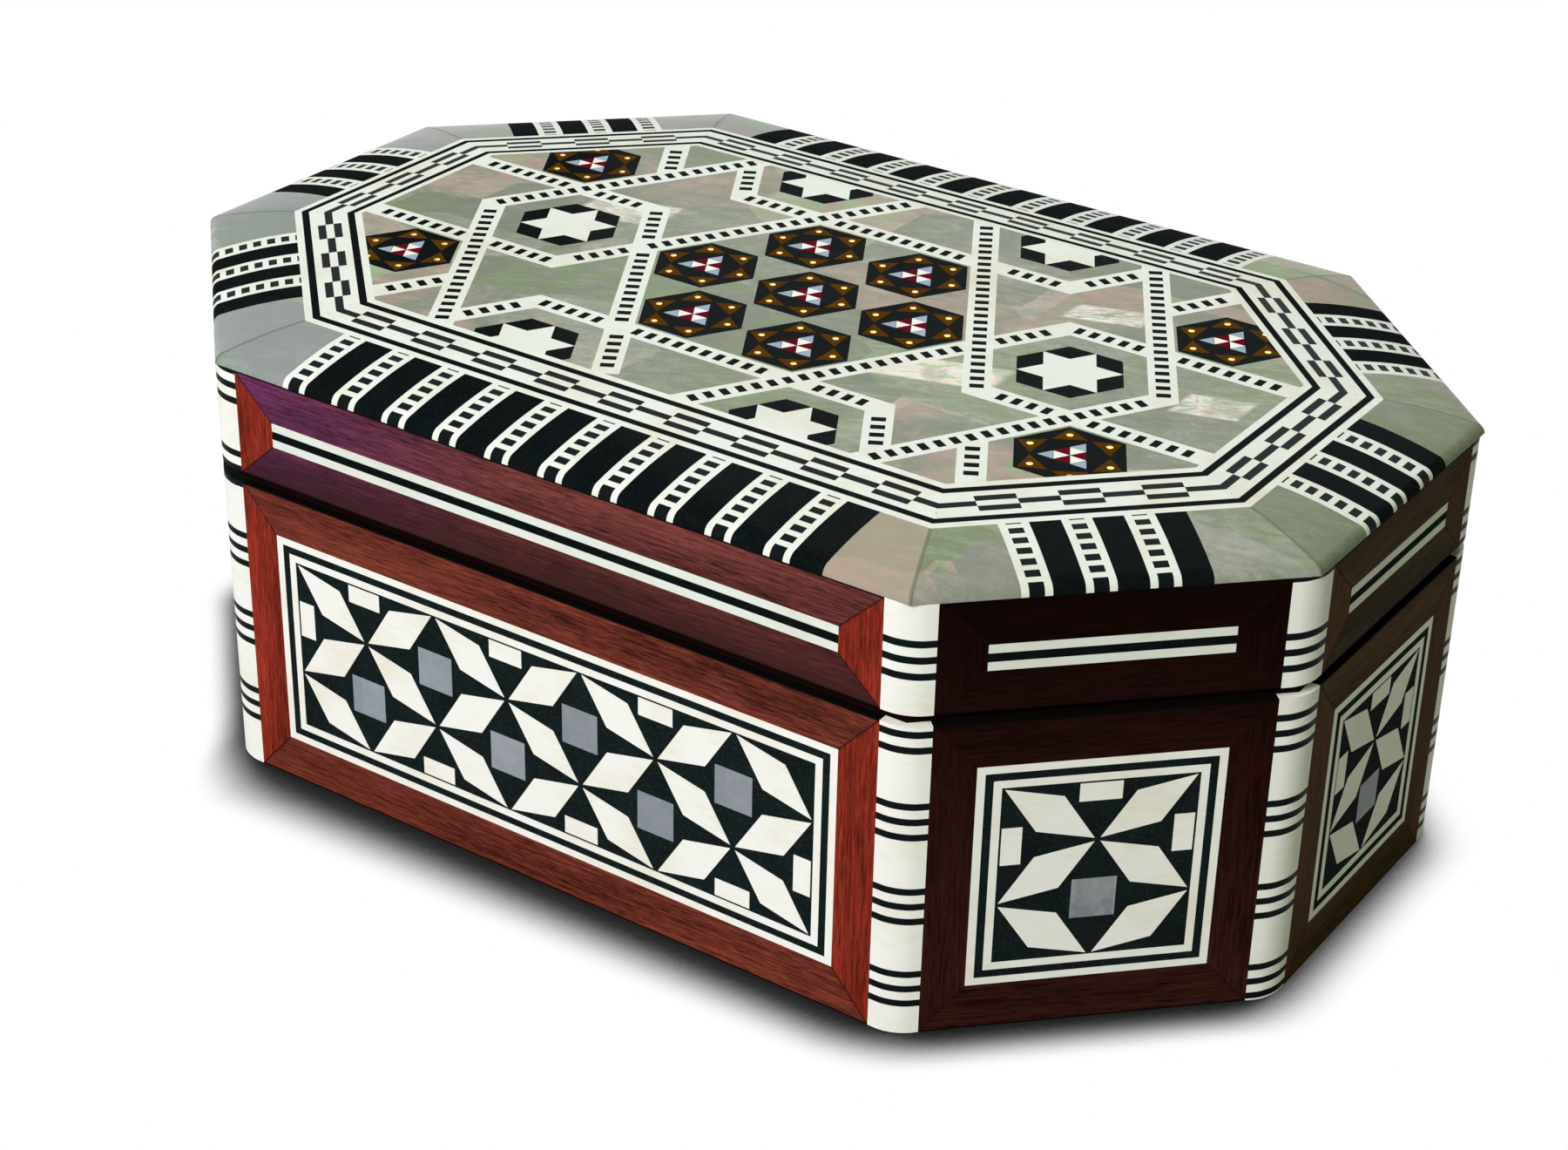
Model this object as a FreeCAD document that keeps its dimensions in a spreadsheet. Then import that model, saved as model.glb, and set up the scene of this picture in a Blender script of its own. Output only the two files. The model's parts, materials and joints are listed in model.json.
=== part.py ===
import FreeCAD, Part
import math
import operator
import os

import Sketcher
from FreeCAD import Placement, Rotation, Vector

# An eight-sided inlaid music box: a wooden base and a hinged lid, both covered in veneer, bone, shell and
# black inlay, with a wind-up movement at the left end and a velvet compartment at the right.
# +X runs along the box, +Y to the hinges and +Z up. The origin is on the table, under the middle of the box.

doc = FreeCAD.newDocument("music_box")

# Driving dimensions in millimetres, with the counts of teeth and repeats
DIMENSIONS = [
    ("box_length", 160.0, "box over its short sides"),
    ("box_width", 104.9, "box over its long sides"),
    ("corner_cut", 31.2, "how far each cut corner runs along a side"),
    ("base_height", 39.8, "table to the rim of the base"),
    ("rim_gap", 1.4, "shadow gap between the two rims"),
    ("wall_board", 6.0, "thickness of the wall boards"),
    ("veneer", 1.2, "thickness of veneer and inlay"),
    ("lid_wall_height", 9.8, "rim of the lid to the underside of its top board"),
    ("lid_side_height", 13.4, "rim of the lid to the top of its side veneer"),
    ("lid_edge_height", 0.5, "upright edge of the shell margin"),
    ("lid_edge_round", 0.6, "rounding of the shell margin's edge"),
    ("margin_width", 10.9, "edge of the lid to the patterned band"),
    ("margin_rise", 1.8, "rise of the margin from its edge to the band"),
    ("margin_bulge", 0.3, "swell of the margin above a straight slope"),
    ("band_rise", 0.7, "rise of the band from its outer to its inner edge"),
    ("band_line", 0.92, "width of one line of the band"),
    ("band_checker", 3.0, "width of the band's chequered row"),
    ("strip_width", 3.1, "width of a bone corner strip on each face"),
    ("strip_round", 5.0, "rounding of the bone corner strips"),
    ("bottom_rail", 5.75, "wood below a side panel"),
    ("top_rail", 5.55, "wood above a side panel"),
    ("stile_width", 5.05, "wood between a side panel and a corner strip"),
    ("panel_line", 0.95, "width of one line round a side panel"),
    ("long_columns", 7, "half columns in a long panel"),
    ("short_columns", 2, "half columns in a short panel"),
    ("panel_rows", 3, "rows in a panel"),
    ("petal_half_width", 2.6, "half of a bone petal's short diagonal"),
    ("petal_gap", 0.4, "ground left at each tip of a petal"),
    ("shell_square", 5.1, "side of a shell square in the net"),
    ("tab_length", 4.8, "length of a bone tab at the net's edge"),
    ("tab_depth", 2.3, "depth of a bone tab"),
    ("tab_gap", 0.25, "ground left between a bone tab and the panel's lines"),
    ("tile_depth", 0.5, "thickness of the net's pieces on their ground"),
    ("stringing_line", 1.05, "width of one line round the lid's side"),
    ("stringing_rise", 6.5, "rim of the lid to the middle of its side lines"),
    ("stringing_end", 8.6, "corner of the lid to the end of its side lines"),
    ("lattice_rows", 3, "rows of the lid's lattice from its middle to a star"),
    ("lattice_edge", 0.91, "middle of a star at the field's edge to the band"),
    ("ladder_width", 3.4, "width of a ladder strip"),
    ("mosaic_clearance", 0.35, "mosaic hexagons to the ladders round them"),
    ("mosaic_gap", 0.85, "corner of one mosaic hexagon to the next"),
    ("long_strips", 10, "ladders in the margin of a long side"),
    ("short_strips", 3, "ladders in the margin of a short side"),
    ("long_end", 6.3, "mitre to the strips on a long side"),
    ("short_bar", 3.5, "width of a black bar in the margin of a short side"),
    ("movement_room", 20.9, "bottom board to the clear cover"),
    ("bottom_board", 3.0, "thickness of the bottom board"),
    ("lining", 1.2, "thickness of the velvet lining"),
    ("lining_clearance", 0.1, "gap between the linings of base and lid"),
    ("partition", 3.0, "thickness of the partition"),
    ("partition_place", 59.0, "left end of the box to the partition"),
    ("cover", 1.5, "thickness of the clear cover"),
    ("cover_drop", 0.9, "rim of the base to the top of the clear cover"),
    ("ledge", 3.0, "width and height of the ledges under the clear cover"),
    ("ledge_length", 20.0, "length of a ledge"),
    ("hinge_length", 18.0, "length of a hinge"),
    ("hinge_end", 18.8, "corner of the back to the middle of a hinge"),
    ("leaf", 0.65, "thickness of a hinge leaf"),
    ("leaf_depth", 6.6, "depth of a hinge leaf on the rim"),
    ("knuckle_radius", 0.85, "outer radius of a hinge knuckle"),
    ("knuckle_gap", 0.12, "back of the box to the hinge knuckles"),
    ("hinge_pin_radius", 0.42, "radius of a hinge pin"),
    ("running_clearance", 0.05, "radial clearance of a turning shaft"),
    ("small_sides", 8, "flats of the nails, screws and small bores"),
    ("wing_sides", 20, "flats of one wing of the key"),
    ("hinge_nail_radius", 0.6, "radius of a hinge nail"),
    ("hinge_nail_length", 5.0, "length of a hinge nail in the wood"),
    ("hinge_nail_spacing", 10.0, "spacing of the nails in one leaf"),
    ("bedplate", 1.6, "thickness of the movement's bedplate"),
    ("bedplate_margin", 1.5, "bedplate left outside what stands on it"),
    ("bedplate_corner", 3.0, "bevel of the bedplate's corners"),
    ("movement_place", 31.0, "left end of the box to the cylinder's axis"),
    ("barrel_place", 16.0, "middle of the box to the spring barrel"),
    ("axis_height", 9.5, "bedplate to the cylinder's axis"),
    ("crown_teeth", 24, "teeth of the spring barrel"),
    ("drive_teeth", 8, "teeth of the cylinder's drive pinion"),
    ("crown_module", 0.87, "tooth module of barrel and drive pinion"),
    ("crown_face", 1.8, "radial width of the barrel's teeth"),
    ("drive_width", 1.2, "width of the drive pinion"),
    ("barrel_wall", 0.9, "wall of the spring barrel"),
    ("barrel_clearance", 0.4, "bedplate to the spring barrel"),
    ("barrel_cap", 0.8, "thickness of the barrel's cap"),
    ("spring_turns", 3, "turns of the mainspring"),
    ("spring_strip", 0.35, "thickness of the mainspring's strip"),
    ("spring_clearance", 0.3, "mainspring to barrel and arbor"),
    ("winding_radius", 2.0, "radius of the winding arbor"),
    ("key_hub_radius", 3.0, "radius of the key's hub"),
    ("key_hub_overlap", 0.6, "depth of a wing in the key's hub"),
    ("key_gap", 2.7, "key's wings to the bottom board"),
    ("key_thickness", 1.6, "thickness of the key's wings"),
    ("key_foot", 1.6, "table to the lowest point of the key"),
    ("key_neck", 1.5, "bottom board to the key's hub"),
    ("key_seat", 1.5, "foot of the key's hub to the arbor in it"),
    ("cylinder_radius", 6.5, "radius of the pinned cylinder"),
    ("cylinder_length", 20.0, "length of the pinned cylinder"),
    ("pin_height", 0.7, "height of the cylinder's pins"),
    ("pin_width", 0.4, "width of the cylinder's pins"),
    ("pin_root", 0.4, "depth of a pin in the cylinder"),
    ("pins_per_tooth", 2, "pins in the track of one comb tooth"),
    ("arbor_radius", 1.0, "radius of the cylinder's and governor's arbors"),
    ("bracket", 1.4, "thickness of the cylinder's brackets"),
    ("bracket_width", 8.0, "width of the cylinder's brackets"),
    ("bracket_head", 2.4, "arbor's axis to the top of a bracket"),
    ("bracket_foot", 4.0, "length of a bracket's foot"),
    ("side_clearance", 0.5, "gap between wheels and what they turn beside"),
    ("comb_teeth", 18, "teeth of the comb"),
    ("comb_margin", 0.7, "end of the cylinder to the end of the comb"),
    ("comb_tooth_width", 0.75, "width of a comb tooth"),
    ("comb_tooth_length", 9.0, "length of a comb tooth"),
    ("comb_thickness", 0.8, "thickness of the comb"),
    ("comb_back", 6.5, "depth of the comb's screwed back"),
    ("comb_clearance", 0.2, "comb tips to the circle of the pins"),
    ("comb_screw_radius", 0.9, "shank radius of a comb screw"),
    ("comb_screw_depth", 5.0, "depth of a comb screw below the comb"),
    ("screw_head", 1.3, "height of a screw head"),
    ("screw_head_ratio", 1.8, "screw head radius over shank radius"),
    ("gear_module", 0.6667, "tooth module of the governor's gears"),
    ("cylinder_gear_teeth", 24, "teeth of the cylinder's gear"),
    ("governor_pinion_teeth", 9, "teeth of the governor's pinion"),
    ("governor_wheel_teeth", 12, "teeth of the governor's worm wheel"),
    ("gear_width", 1.4, "width of the governor's gears"),
    ("wheel_width", 0.8, "width of the worm wheel"),
    ("mesh_clearance", 0.05, "added to the gears' centre distances"),
    ("worm_radius", 1.6, "pitch radius of the worm"),
    ("worm_starts", 2, "threads of the worm"),
    ("worm_length", 5.4, "length of the worm's thread"),
    ("worm_shaft", 0.7, "radius of the worm's shaft"),
    ("governor_plate", 1.0, "thickness of the governor's bracket"),
    ("governor_room", 2.5, "worm's axis to a governor plate"),
    ("tab_height", 3.2, "governor axis to its top tab"),
    ("tab_thickness", 0.8, "thickness of the governor's top tab"),
    ("fan_radius", 4.0, "radius of the fan"),
    ("fan_height", 2.4, "height of the fan's blades"),
    ("fan_blade", 0.4, "thickness of a fan blade"),
    ("fan_hub", 1.3, "radius of the fan's hub"),
    ("stop_radius", 0.6, "radius of the stop rod"),
    ("stop_tongue", 0.5, "thickness of the stop rod's tongue"),
    ("stop_clearance", 0.25, "gap at the stop rod's tongue and tip"),
    ("stop_foot", 2.0, "length of the stop rod below its tab"),
    ("movement_screw_radius", 1.0, "shank radius of a movement screw"),
    ("movement_screw_place", 4.0, "bedplate's edge to a movement screw"),
]

sheet = doc.addObject("Spreadsheet::Sheet", "Sizes")
for row, (alias, amount, note) in enumerate(DIMENSIONS, start=1):
    sheet.set(f"A{row}", note)
    sheet.set(f"B{row}", str(amount))
    sheet.setAlias(f"B{row}", alias)
doc.recompute()

OPERATIONS = {"+": operator.add, "-": operator.sub, "*": operator.mul, "/": operator.truediv}


class Size:
    """A number that also keeps the expression on the sheet that it comes from."""

    def __init__(self, value, text):
        self.value = value
        self.text = text

    def __add__(self, other):
        return combine(self, "+", other)

    def __radd__(self, other):
        return combine(other, "+", self)

    def __sub__(self, other):
        return combine(self, "-", other)

    def __rsub__(self, other):
        return combine(other, "-", self)

    def __mul__(self, other):
        return combine(self, "*", other)

    def __rmul__(self, other):
        return combine(other, "*", self)

    def __truediv__(self, other):
        return combine(self, "/", other)

    def __neg__(self):
        return combine(0, "-", self)

    def __float__(self):
        return float(self.value)


def as_size(item):
    """Give a plain number the same form as a size from the sheet."""
    if isinstance(item, Size):
        return item
    return Size(float(item), f"({float(item)!r})")


def combine(left, sign, right):
    """Join two sizes by one sum, in value and in expression."""
    left = as_size(left)
    right = as_size(right)
    value = OPERATIONS[sign](left.value, right.value)
    return Size(value, f"({left.text} {sign} {right.text})")


def cell(alias):
    """Read one driving dimension from the sheet."""
    return Size(float(sheet.get(alias)), f"Sizes.{alias}")


# Heights and places that several pieces share
veneer = cell("veneer")
wall_inset = veneer + cell("wall_board")
half_length = cell("box_length") / 2
half_width = cell("box_width") / 2
base_rim = cell("base_height")
lid_rim = base_rim + cell("rim_gap")
lid_ceiling = lid_rim + cell("lid_wall_height")
lid_shoulder = lid_rim + cell("lid_side_height")
margin_width = cell("margin_width")
band_width = cell("band_line") * 6 + cell("band_checker")
field_inset = margin_width + band_width
lattice_row = (half_width - field_inset - cell("lattice_edge")) / cell("lattice_rows")
lattice = lattice_row * 2 / math.sqrt(3)
mosaic_room = lattice_row * 2 - cell("ladder_width") / 2 - cell("mosaic_clearance")
hexagon_radius = (mosaic_room * 2 / math.sqrt(3) - cell("mosaic_gap")) / 3
hexagon_spacing = hexagon_radius * 2 + cell("mosaic_gap")
margin_edge_top = lid_shoulder + cell("lid_edge_height") + cell("lid_edge_round")
margin_top = margin_edge_top + cell("margin_rise")
field_top = margin_top + cell("band_rise")
cover_top = base_rim - cell("cover_drop")
cover_bottom = cover_top - cell("cover")
floor_top = cover_bottom - cell("movement_room")
recess_height = floor_top - cell("bottom_board")
bed_top = floor_top + cell("bedplate")
partition_left = -half_length + cell("partition_place")
partition_right = partition_left + cell("partition")
hinge_y = half_width + cell("knuckle_gap") + cell("knuckle_radius")
hinge_z = base_rim + cell("rim_gap") / 2
panel_bottom = cell("bottom_rail") + cell("panel_line") * 3
panel_row = (base_rim - cell("top_rail") - cell("panel_line") * 3 - panel_bottom) / cell("panel_rows")

# Places along and across the movement, which turns about axes through axis_z
side_clearance = cell("side_clearance")
running = cell("running_clearance")
cylinder_x = -half_length + cell("movement_place")
barrel_y = -cell("barrel_place")
axis_z = bed_top + cell("axis_height")
crown_radius = cell("crown_module") * cell("crown_teeth") / 2
drive_radius = cell("crown_module") * cell("drive_teeth") / 2
crown_pitch_z = axis_z - drive_radius
crown_rim = crown_pitch_z - cell("crown_module") * 1.1
barrel_radius = crown_radius + cell("crown_face") / 2
barrel_bottom = bed_top + cell("barrel_clearance")
bracket_y = barrel_y + barrel_radius + side_clearance
cylinder_y = bracket_y + cell("bracket") + side_clearance
cylinder_end = cylinder_y + cell("cylinder_length")
gear_y = cylinder_end + side_clearance
far_bracket_y = gear_y + cell("gear_width") + side_clearance
gear_radius = cell("gear_module") * cell("cylinder_gear_teeth") / 2
governor_pinion_radius = cell("gear_module") * cell("governor_pinion_teeth") / 2
wheel_radius = cell("gear_module") * cell("governor_wheel_teeth") / 2
governor_x = cylinder_x + gear_radius + governor_pinion_radius + cell("mesh_clearance")
worm_x = governor_x + wheel_radius + cell("worm_radius") + cell("mesh_clearance")
worm_y = far_bracket_y + cell("governor_plate") + cell("governor_room")
governor_far_y = worm_y + cell("governor_room") + cell("governor_plate")
tab_bottom = axis_z + cell("tab_height")
tab_top = tab_bottom + cell("tab_thickness")
fan_bottom = tab_top + side_clearance
fan_top = fan_bottom + cell("fan_height")
stop_x = worm_x + cell("fan_radius") + cell("stop_radius") + side_clearance
pin_circle = cell("cylinder_radius") + cell("pin_height")
comb_width = cell("cylinder_length") - cell("comb_margin") * 2
comb_pitch = (comb_width - cell("comb_tooth_width")) / (cell("comb_teeth") - 1)
comb_tip_x = cylinder_x + pin_circle + cell("comb_clearance")
comb_root_x = comb_tip_x + cell("comb_tooth_length")
comb_end_x = comb_root_x + cell("comb_back")
bed_left = cylinder_x - barrel_radius - cell("bedplate_margin") / 3
bed_right = stop_x + cell("bedplate_margin")
bed_front = barrel_y - barrel_radius - cell("bedplate_margin") / 3
bed_back = governor_far_y + cell("bedplate_margin") / 3

UP = Vector(0, 0, 1)
QUARTER_TURN = 90
HALF_TURN = 180
INSET_OF_CORNER = 2 - math.sqrt(2)
FRONT, FRONT_RIGHT, RIGHT, BACK_RIGHT, BACK, BACK_LEFT, LEFT, FRONT_LEFT = range(8)
LONG_SIDES = (FRONT, BACK)


# Outlines of the eight-sided box


def corner_sizes(inset):
    """The eight corners of the box, moved in from its faces, anticlockwise from the front left."""
    reach = half_length - inset
    across = half_width - inset
    cut = cell("corner_cut") - as_size(inset) * INSET_OF_CORNER
    short_reach = reach - cut
    short_across = across - cut
    return [
        (-short_reach, -across), (short_reach, -across), (reach, -short_across), (reach, short_across),
        (short_reach, across), (-short_reach, across), (-reach, short_across), (-reach, -short_across),
    ]


def corner(inset, index, height=0):
    """One of those corners as a point."""
    x, y = corner_sizes(inset)[index % 8]
    return Vector(float(x), float(y), float(height))


def octagon_wire(inset, height):
    """The outline of the box, moved in and lifted."""
    points = [corner(inset, index, height) for index in range(8)]
    return Part.makePolygon(points + points[:1])


def octagon_plate(inset, bottom, top):
    """An eight-sided plate."""
    return Part.Face(octagon_wire(inset, bottom)).extrude(UP * float(top - bottom))


def side_length(side, inset=0):
    """Length of one side of the box."""
    return (corner(inset, side + 1) - corner(inset, side)).Length


def on_side(shape, side):
    """Stand a shape on one side: its X runs along the side, Y goes into the box and Z up."""
    start = corner(0, side)
    end = corner(0, side + 1)
    turn = math.degrees(math.atan2(end.y - start.y, end.x - start.x))
    placed = shape.copy()
    placed.Placement = Placement((start + end) / 2, Rotation(UP, turn)).multiply(placed.Placement)
    return placed


def flat_face(points):
    """A flat face with straight edges."""
    return Part.Face(Part.makePolygon(points + points[:1]))


def through_rings(rings, twisted=False):
    """A flat-faced solid through rings of points; a twisted one has two flat faces to each four points."""
    faces = [flat_face(rings[0]), flat_face(rings[-1])]
    for lower, upper in zip(rings, rings[1:]):
        for step in range(len(lower)):
            after = (step + 1) % len(lower)
            four = [lower[step], lower[after], upper[after], upper[step]]
            if twisted:
                faces += [flat_face(four[:3]), flat_face([four[0], four[2], four[3]])]
            else:
                faces.append(flat_face(four))
    solid = Part.Solid(Part.Shell(faces))
    if solid.Volume < 0:
        solid.reverse()
    return solid


def mitred(side, outline):
    """A moulding along one side with mitred ends; its outline is a list of inset and height."""
    ends = (side, side + 1)
    return through_rings([[corner(inset, end, height) for inset, height in outline] for end in ends])


def ring_boards(outer, inner, bottom, top):
    """Eight mitred boards that make one wall."""
    outline = [(outer, bottom), (inner, bottom), (inner, top), (outer, top)]
    return [mitred(side, outline) for side in range(8)]


def block(x_low, x_high, y_low, y_high, z_low, z_high):
    """A square-edged block between two corners."""
    low = Vector(float(x_low), float(y_low), float(z_low))
    size = Vector(float(x_high), float(y_high), float(z_high)) - low
    return Part.makeBox(size.x, size.y, size.z, low)


def rod(radius, length, x, y, z, direction=UP):
    """A round bar from one point along a direction."""
    return Part.makeCylinder(float(radius), float(length), Vector(float(x), float(y), float(z)), direction)


def prism(points, depth):
    """A flat piece from an outline of points and the vector of its thickness."""
    return flat_face(points).extrude(depth)


def around(centre, radius, angle):
    """A point at a distance and an angle from a centre."""
    turn = math.radians(angle)
    return centre + Vector(radius * math.cos(turn), radius * math.sin(turn), 0)


def sided_rod(radius, length, x, y, z, direction=UP):
    """A small bar with flats that touch a circle of the radius, from one point along a direction."""
    sides = int(float(cell("small_sides")))
    corner_radius = float(radius) / math.cos(math.pi / sides)
    points = [around(Vector(), corner_radius, 360 * step / sides) for step in range(sides)]
    bar = prism(points, UP * float(length))
    bar.Placement = Placement(Vector(float(x), float(y), float(z)), Rotation(UP, direction))
    return bar


def cut_away(shape, tools):
    """A shape less a list of others."""
    return shape.cut(Part.makeCompound(tools)) if tools else shape


# Making the sub-parts as objects of the document

pieces = []


def add_solids(label, shapes):
    """A sub-part made of one or more separate solids."""
    solids = [solid for shape in shapes for solid in shape.Solids]
    feature = doc.addObject("Part::Feature", label)
    feature.Shape = Part.makeCompound(solids)
    feature.Label = label
    feature.Placement = Placement()
    pieces.append(feature)
    return feature


def new_body(label, place, turn=None):
    """An empty body of the document, placed in the box."""
    body = doc.addObject("PartDesign::Body", label)
    body.Label = label
    body.Placement = Placement(Vector(*(float(size) for size in place)), turn or Rotation())
    for axis, size in zip("xyz", place):
        body.setExpression(f"Placement.Base.{axis}", as_size(size).text)
    pieces.append(body)
    return body


def new_sketch(body, name, role="XY_Plane", lift=0):
    """A sketch on one of the body's own planes, lifted from it."""
    sketch = body.newObject("Sketcher::SketchObject", name)
    plane = next(item for item in body.Origin.OriginFeatures if item.Role == role)
    sketch.AttachmentSupport = [(plane, "")]
    sketch.MapMode = "FlatFace"
    sketch.setExpression("AttachmentOffset.Base.z", as_size(lift).text)
    return sketch


def pin_point(sketch, curve, end, point):
    """Tie one point of a sketch to its distances from the sketch's origin."""
    for kind, axis, size in (("DistanceX", -2, point[0]), ("DistanceY", -1, point[1])):
        size = as_size(size)
        if abs(size.value) < 1e-9:
            sketch.addConstraint(Sketcher.Constraint("PointOnObject", curve, end, axis))
        else:
            number = sketch.addConstraint(Sketcher.Constraint(kind, -1, 1, curve, end, size.value))
            sketch.setExpression(f"Constraints[{number}]", size.text)


def draw_polygon(sketch, points):
    """A closed outline of straight lines with every corner tied to the sheet."""
    first = sketch.GeometryCount
    spots = [Vector(float(x), float(y), 0) for x, y in points]
    for start, end in zip(spots, spots[1:] + spots[:1]):
        sketch.addGeometry(Part.LineSegment(start, end))
    count = len(points)
    for step in range(count):
        following = first + (step + 1) % count
        sketch.addConstraint(Sketcher.Constraint("Coincident", first + step, 2, following, 1))
    for step, point in enumerate(points):
        pin_point(sketch, first + step, 1, point)


def draw_rectangle(sketch, x_low, x_high, y_low, y_high):
    """A rectangle between two corners."""
    draw_polygon(sketch, [(x_low, y_low), (x_high, y_low), (x_high, y_high), (x_low, y_high)])


def draw_flats(sketch, x, y, radius, count):
    """An outline of equal flats that touch a circle of the radius."""
    sides = int(float(count))
    reach = radius / math.cos(math.pi / sides)
    turns = [2 * math.pi * step / sides for step in range(sides)]
    draw_polygon(sketch, [(x + reach * math.cos(turn), y + reach * math.sin(turn)) for turn in turns])


def draw_small_bore(sketch, x, y, radius):
    """A small bore with flats that touch a circle of the radius."""
    draw_flats(sketch, x, y, radius, cell("small_sides"))


def draw_circle(sketch, x, y, radius):
    """A circle with its centre and radius tied to the sheet."""
    curve = sketch.addGeometry(Part.Circle(Vector(float(x), float(y), 0), UP, float(radius)))
    pin_point(sketch, curve, 3, (x, y))
    number = sketch.addConstraint(Sketcher.Constraint("Radius", curve, float(radius)))
    sketch.setExpression(f"Constraints[{number}]", as_size(radius).text)


def pad(body, sketch, length, name, both_ways=False, reversed_way=False):
    """Thicken a sketch into the body."""
    feature = body.newObject("PartDesign::Pad", name)
    feature.Profile = sketch
    feature.setExpression("Length", as_size(length).text)
    feature.Midplane = both_ways
    feature.Reversed = reversed_way
    body.Tip = feature
    doc.recompute()
    return feature


def turned(label, outline, place, turn=None):
    """A turned piece: its outline is a list of radius and height along the axis."""
    body = new_body(label, place, turn)
    sketch = new_sketch(body, f"{label}_outline", "XZ_Plane")
    draw_polygon(sketch, outline)
    feature = body.newObject("PartDesign::Revolution", f"{label}_turning")
    feature.Profile = sketch
    feature.ReferenceAxis = (sketch, ["V_Axis"])
    feature.Angle = 360
    body.Tip = feature
    doc.recompute()
    return body


def tooth_points(module, pitch_radius):
    """Corners of a straight-sided tooth that points along X, from below its root to its tip."""
    pitch = module * math.pi
    root = pitch_radius - module * 1.15
    tip = pitch_radius + module * 0.75
    root_half = pitch * 0.26
    tip_half = pitch * 0.11
    return [(root, -root_half), (tip, -tip_half), (tip, tip_half), (root, root_half)]


def repeat_round(body, feature, sketch, teeth, label):
    """Repeat a feature round the body's upright axis."""
    pattern = body.newObject("PartDesign::PolarPattern", f"{label}_teeth")
    pattern.Originals = [feature]
    pattern.Axis = (sketch, ["N_Axis"])
    pattern.Angle = 360
    pattern.setExpression("Occurrences", teeth.text)
    body.Tip = pattern
    doc.recompute()


def gear(label, teeth, module, width, bore, place, turn):
    """A spur gear on a bore."""
    body = new_body(label, place, turn)
    radius = module * teeth / 2
    blank = new_sketch(body, f"{label}_blank")
    draw_flats(blank, 0, 0, radius - module, teeth)
    draw_small_bore(blank, 0, 0, bore)
    pad(body, blank, width, f"{label}_disc")
    outline = new_sketch(body, f"{label}_tooth_outline")
    draw_polygon(outline, tooth_points(module, radius))
    tooth = pad(body, outline, width, f"{label}_tooth")
    repeat_round(body, tooth, blank, teeth, label)
    return body


# Turning a piece's own Z to lie along +Y
LYING = Rotation(Vector(1, 0, 0), -QUARTER_TURN)


def lying(phase=0):
    """The turn of a piece whose axis lies along +Y, turned on that axis."""
    return LYING.multiply(Rotation(UP, float(phase)))


# Carcass of the base


def hinge_centres():
    """The middles of the two hinges along the box."""
    place = side_length(BACK) / 2 - float(cell("hinge_end"))
    return (-place, place)


def hinge_nail_places():
    """Where the nails of the hinges stand, seen from above."""
    offset = float(cell("hinge_nail_spacing")) / 2
    y = float(half_width - cell("leaf_depth") / 2)
    return [(centre + side * offset, y) for centre in hinge_centres() for side in (-1, 1)]


def movement_screw_places():
    """Where the screws that hold the movement stand."""
    edge = cell("movement_screw_place")
    left = bed_left + edge
    front = bed_front + edge
    return [(left, front), (bed_right - edge, front), (left, bed_back - edge)]


def make_base_walls():
    boards = ring_boards(veneer, wall_inset, as_size(0), base_rim)
    depth = cell("hinge_nail_length")
    nail = cell("hinge_nail_radius")
    holes = [sided_rod(nail, depth, x, y, base_rim - depth) for x, y in hinge_nail_places()]
    boards[BACK] = cut_away(boards[BACK], holes)
    add_solids("base_wall_boards", boards)


def make_bottom_board():
    body = new_body("bottom_board", (0, 0, recess_height))
    outline = new_sketch(body, "bottom_board_outline")
    draw_polygon(outline, corner_sizes(wall_inset))
    draw_small_bore(outline, cylinder_x, barrel_y, cell("winding_radius") + side_clearance)
    for x, y in movement_screw_places():
        draw_small_bore(outline, x, y, cell("movement_screw_radius"))
    pad(body, outline, cell("bottom_board"), "bottom_board_thickness")


def make_partition():
    board = doc.addObject("Part::Box", "partition_board")
    board.Label = "partition_board"
    across = half_width - wall_inset
    board.setExpression("Length", cell("partition").text)
    board.setExpression("Width", (across * 2).text)
    board.setExpression("Height", (cover_top - floor_top).text)
    board.setExpression("Placement.Base.x", partition_left.text)
    board.setExpression("Placement.Base.y", (-across).text)
    board.setExpression("Placement.Base.z", floor_top.text)
    pieces.append(board)


def make_ledges():
    across = half_width - wall_inset
    reach = half_length - wall_inset
    size = cell("ledge")
    length = cell("ledge_length")
    low = cover_bottom - size
    ledges = [
        block(partition_left - length, partition_left, -across, size - across, low, cover_bottom),
        block(partition_left - length, partition_left, across - size, across, low, cover_bottom),
        block(-reach, size - reach, -length / 2, length / 2, low, cover_bottom),
    ]
    add_solids("cover_ledges", ledges)


def make_cover():
    body = new_body("movement_cover", (0, 0, cover_bottom))
    outline = new_sketch(body, "movement_cover_outline")
    corners = corner_sizes(wall_inset)
    points = [(partition_left, corners[BACK][1]), corners[BACK_LEFT], corners[LEFT], corners[FRONT_LEFT]]
    points += [corners[FRONT], (partition_left, corners[FRONT][1])]
    draw_polygon(outline, points)
    draw_small_bore(outline, stop_x, worm_y, cell("stop_radius") + running)
    pad(body, outline, cell("cover"), "movement_cover_sheet")


def make_storage_lining():
    """A floor cloth and the cloth on the walls, which stands up past the rim to seat the lid."""
    lining = cell("lining")
    right_part = block(partition_right, half_length, -half_width, half_width, 0, lid_rim)
    floor = octagon_plate(wall_inset, floor_top, floor_top + lining).common(right_part)
    low = floor_top + lining
    walls = ring_boards(wall_inset, wall_inset + lining, low, lid_rim - cell("lining_clearance"))
    walls = [walls[side].common(right_part) for side in (FRONT, FRONT_RIGHT, RIGHT, BACK_RIGHT, BACK)]
    across = half_width - wall_inset - lining
    divider = block(partition_right, partition_right + lining, -across, across, low, cover_top)
    add_solids("storage_lining", [floor, divider] + walls)


# Inlay on the sides of the base


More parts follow.
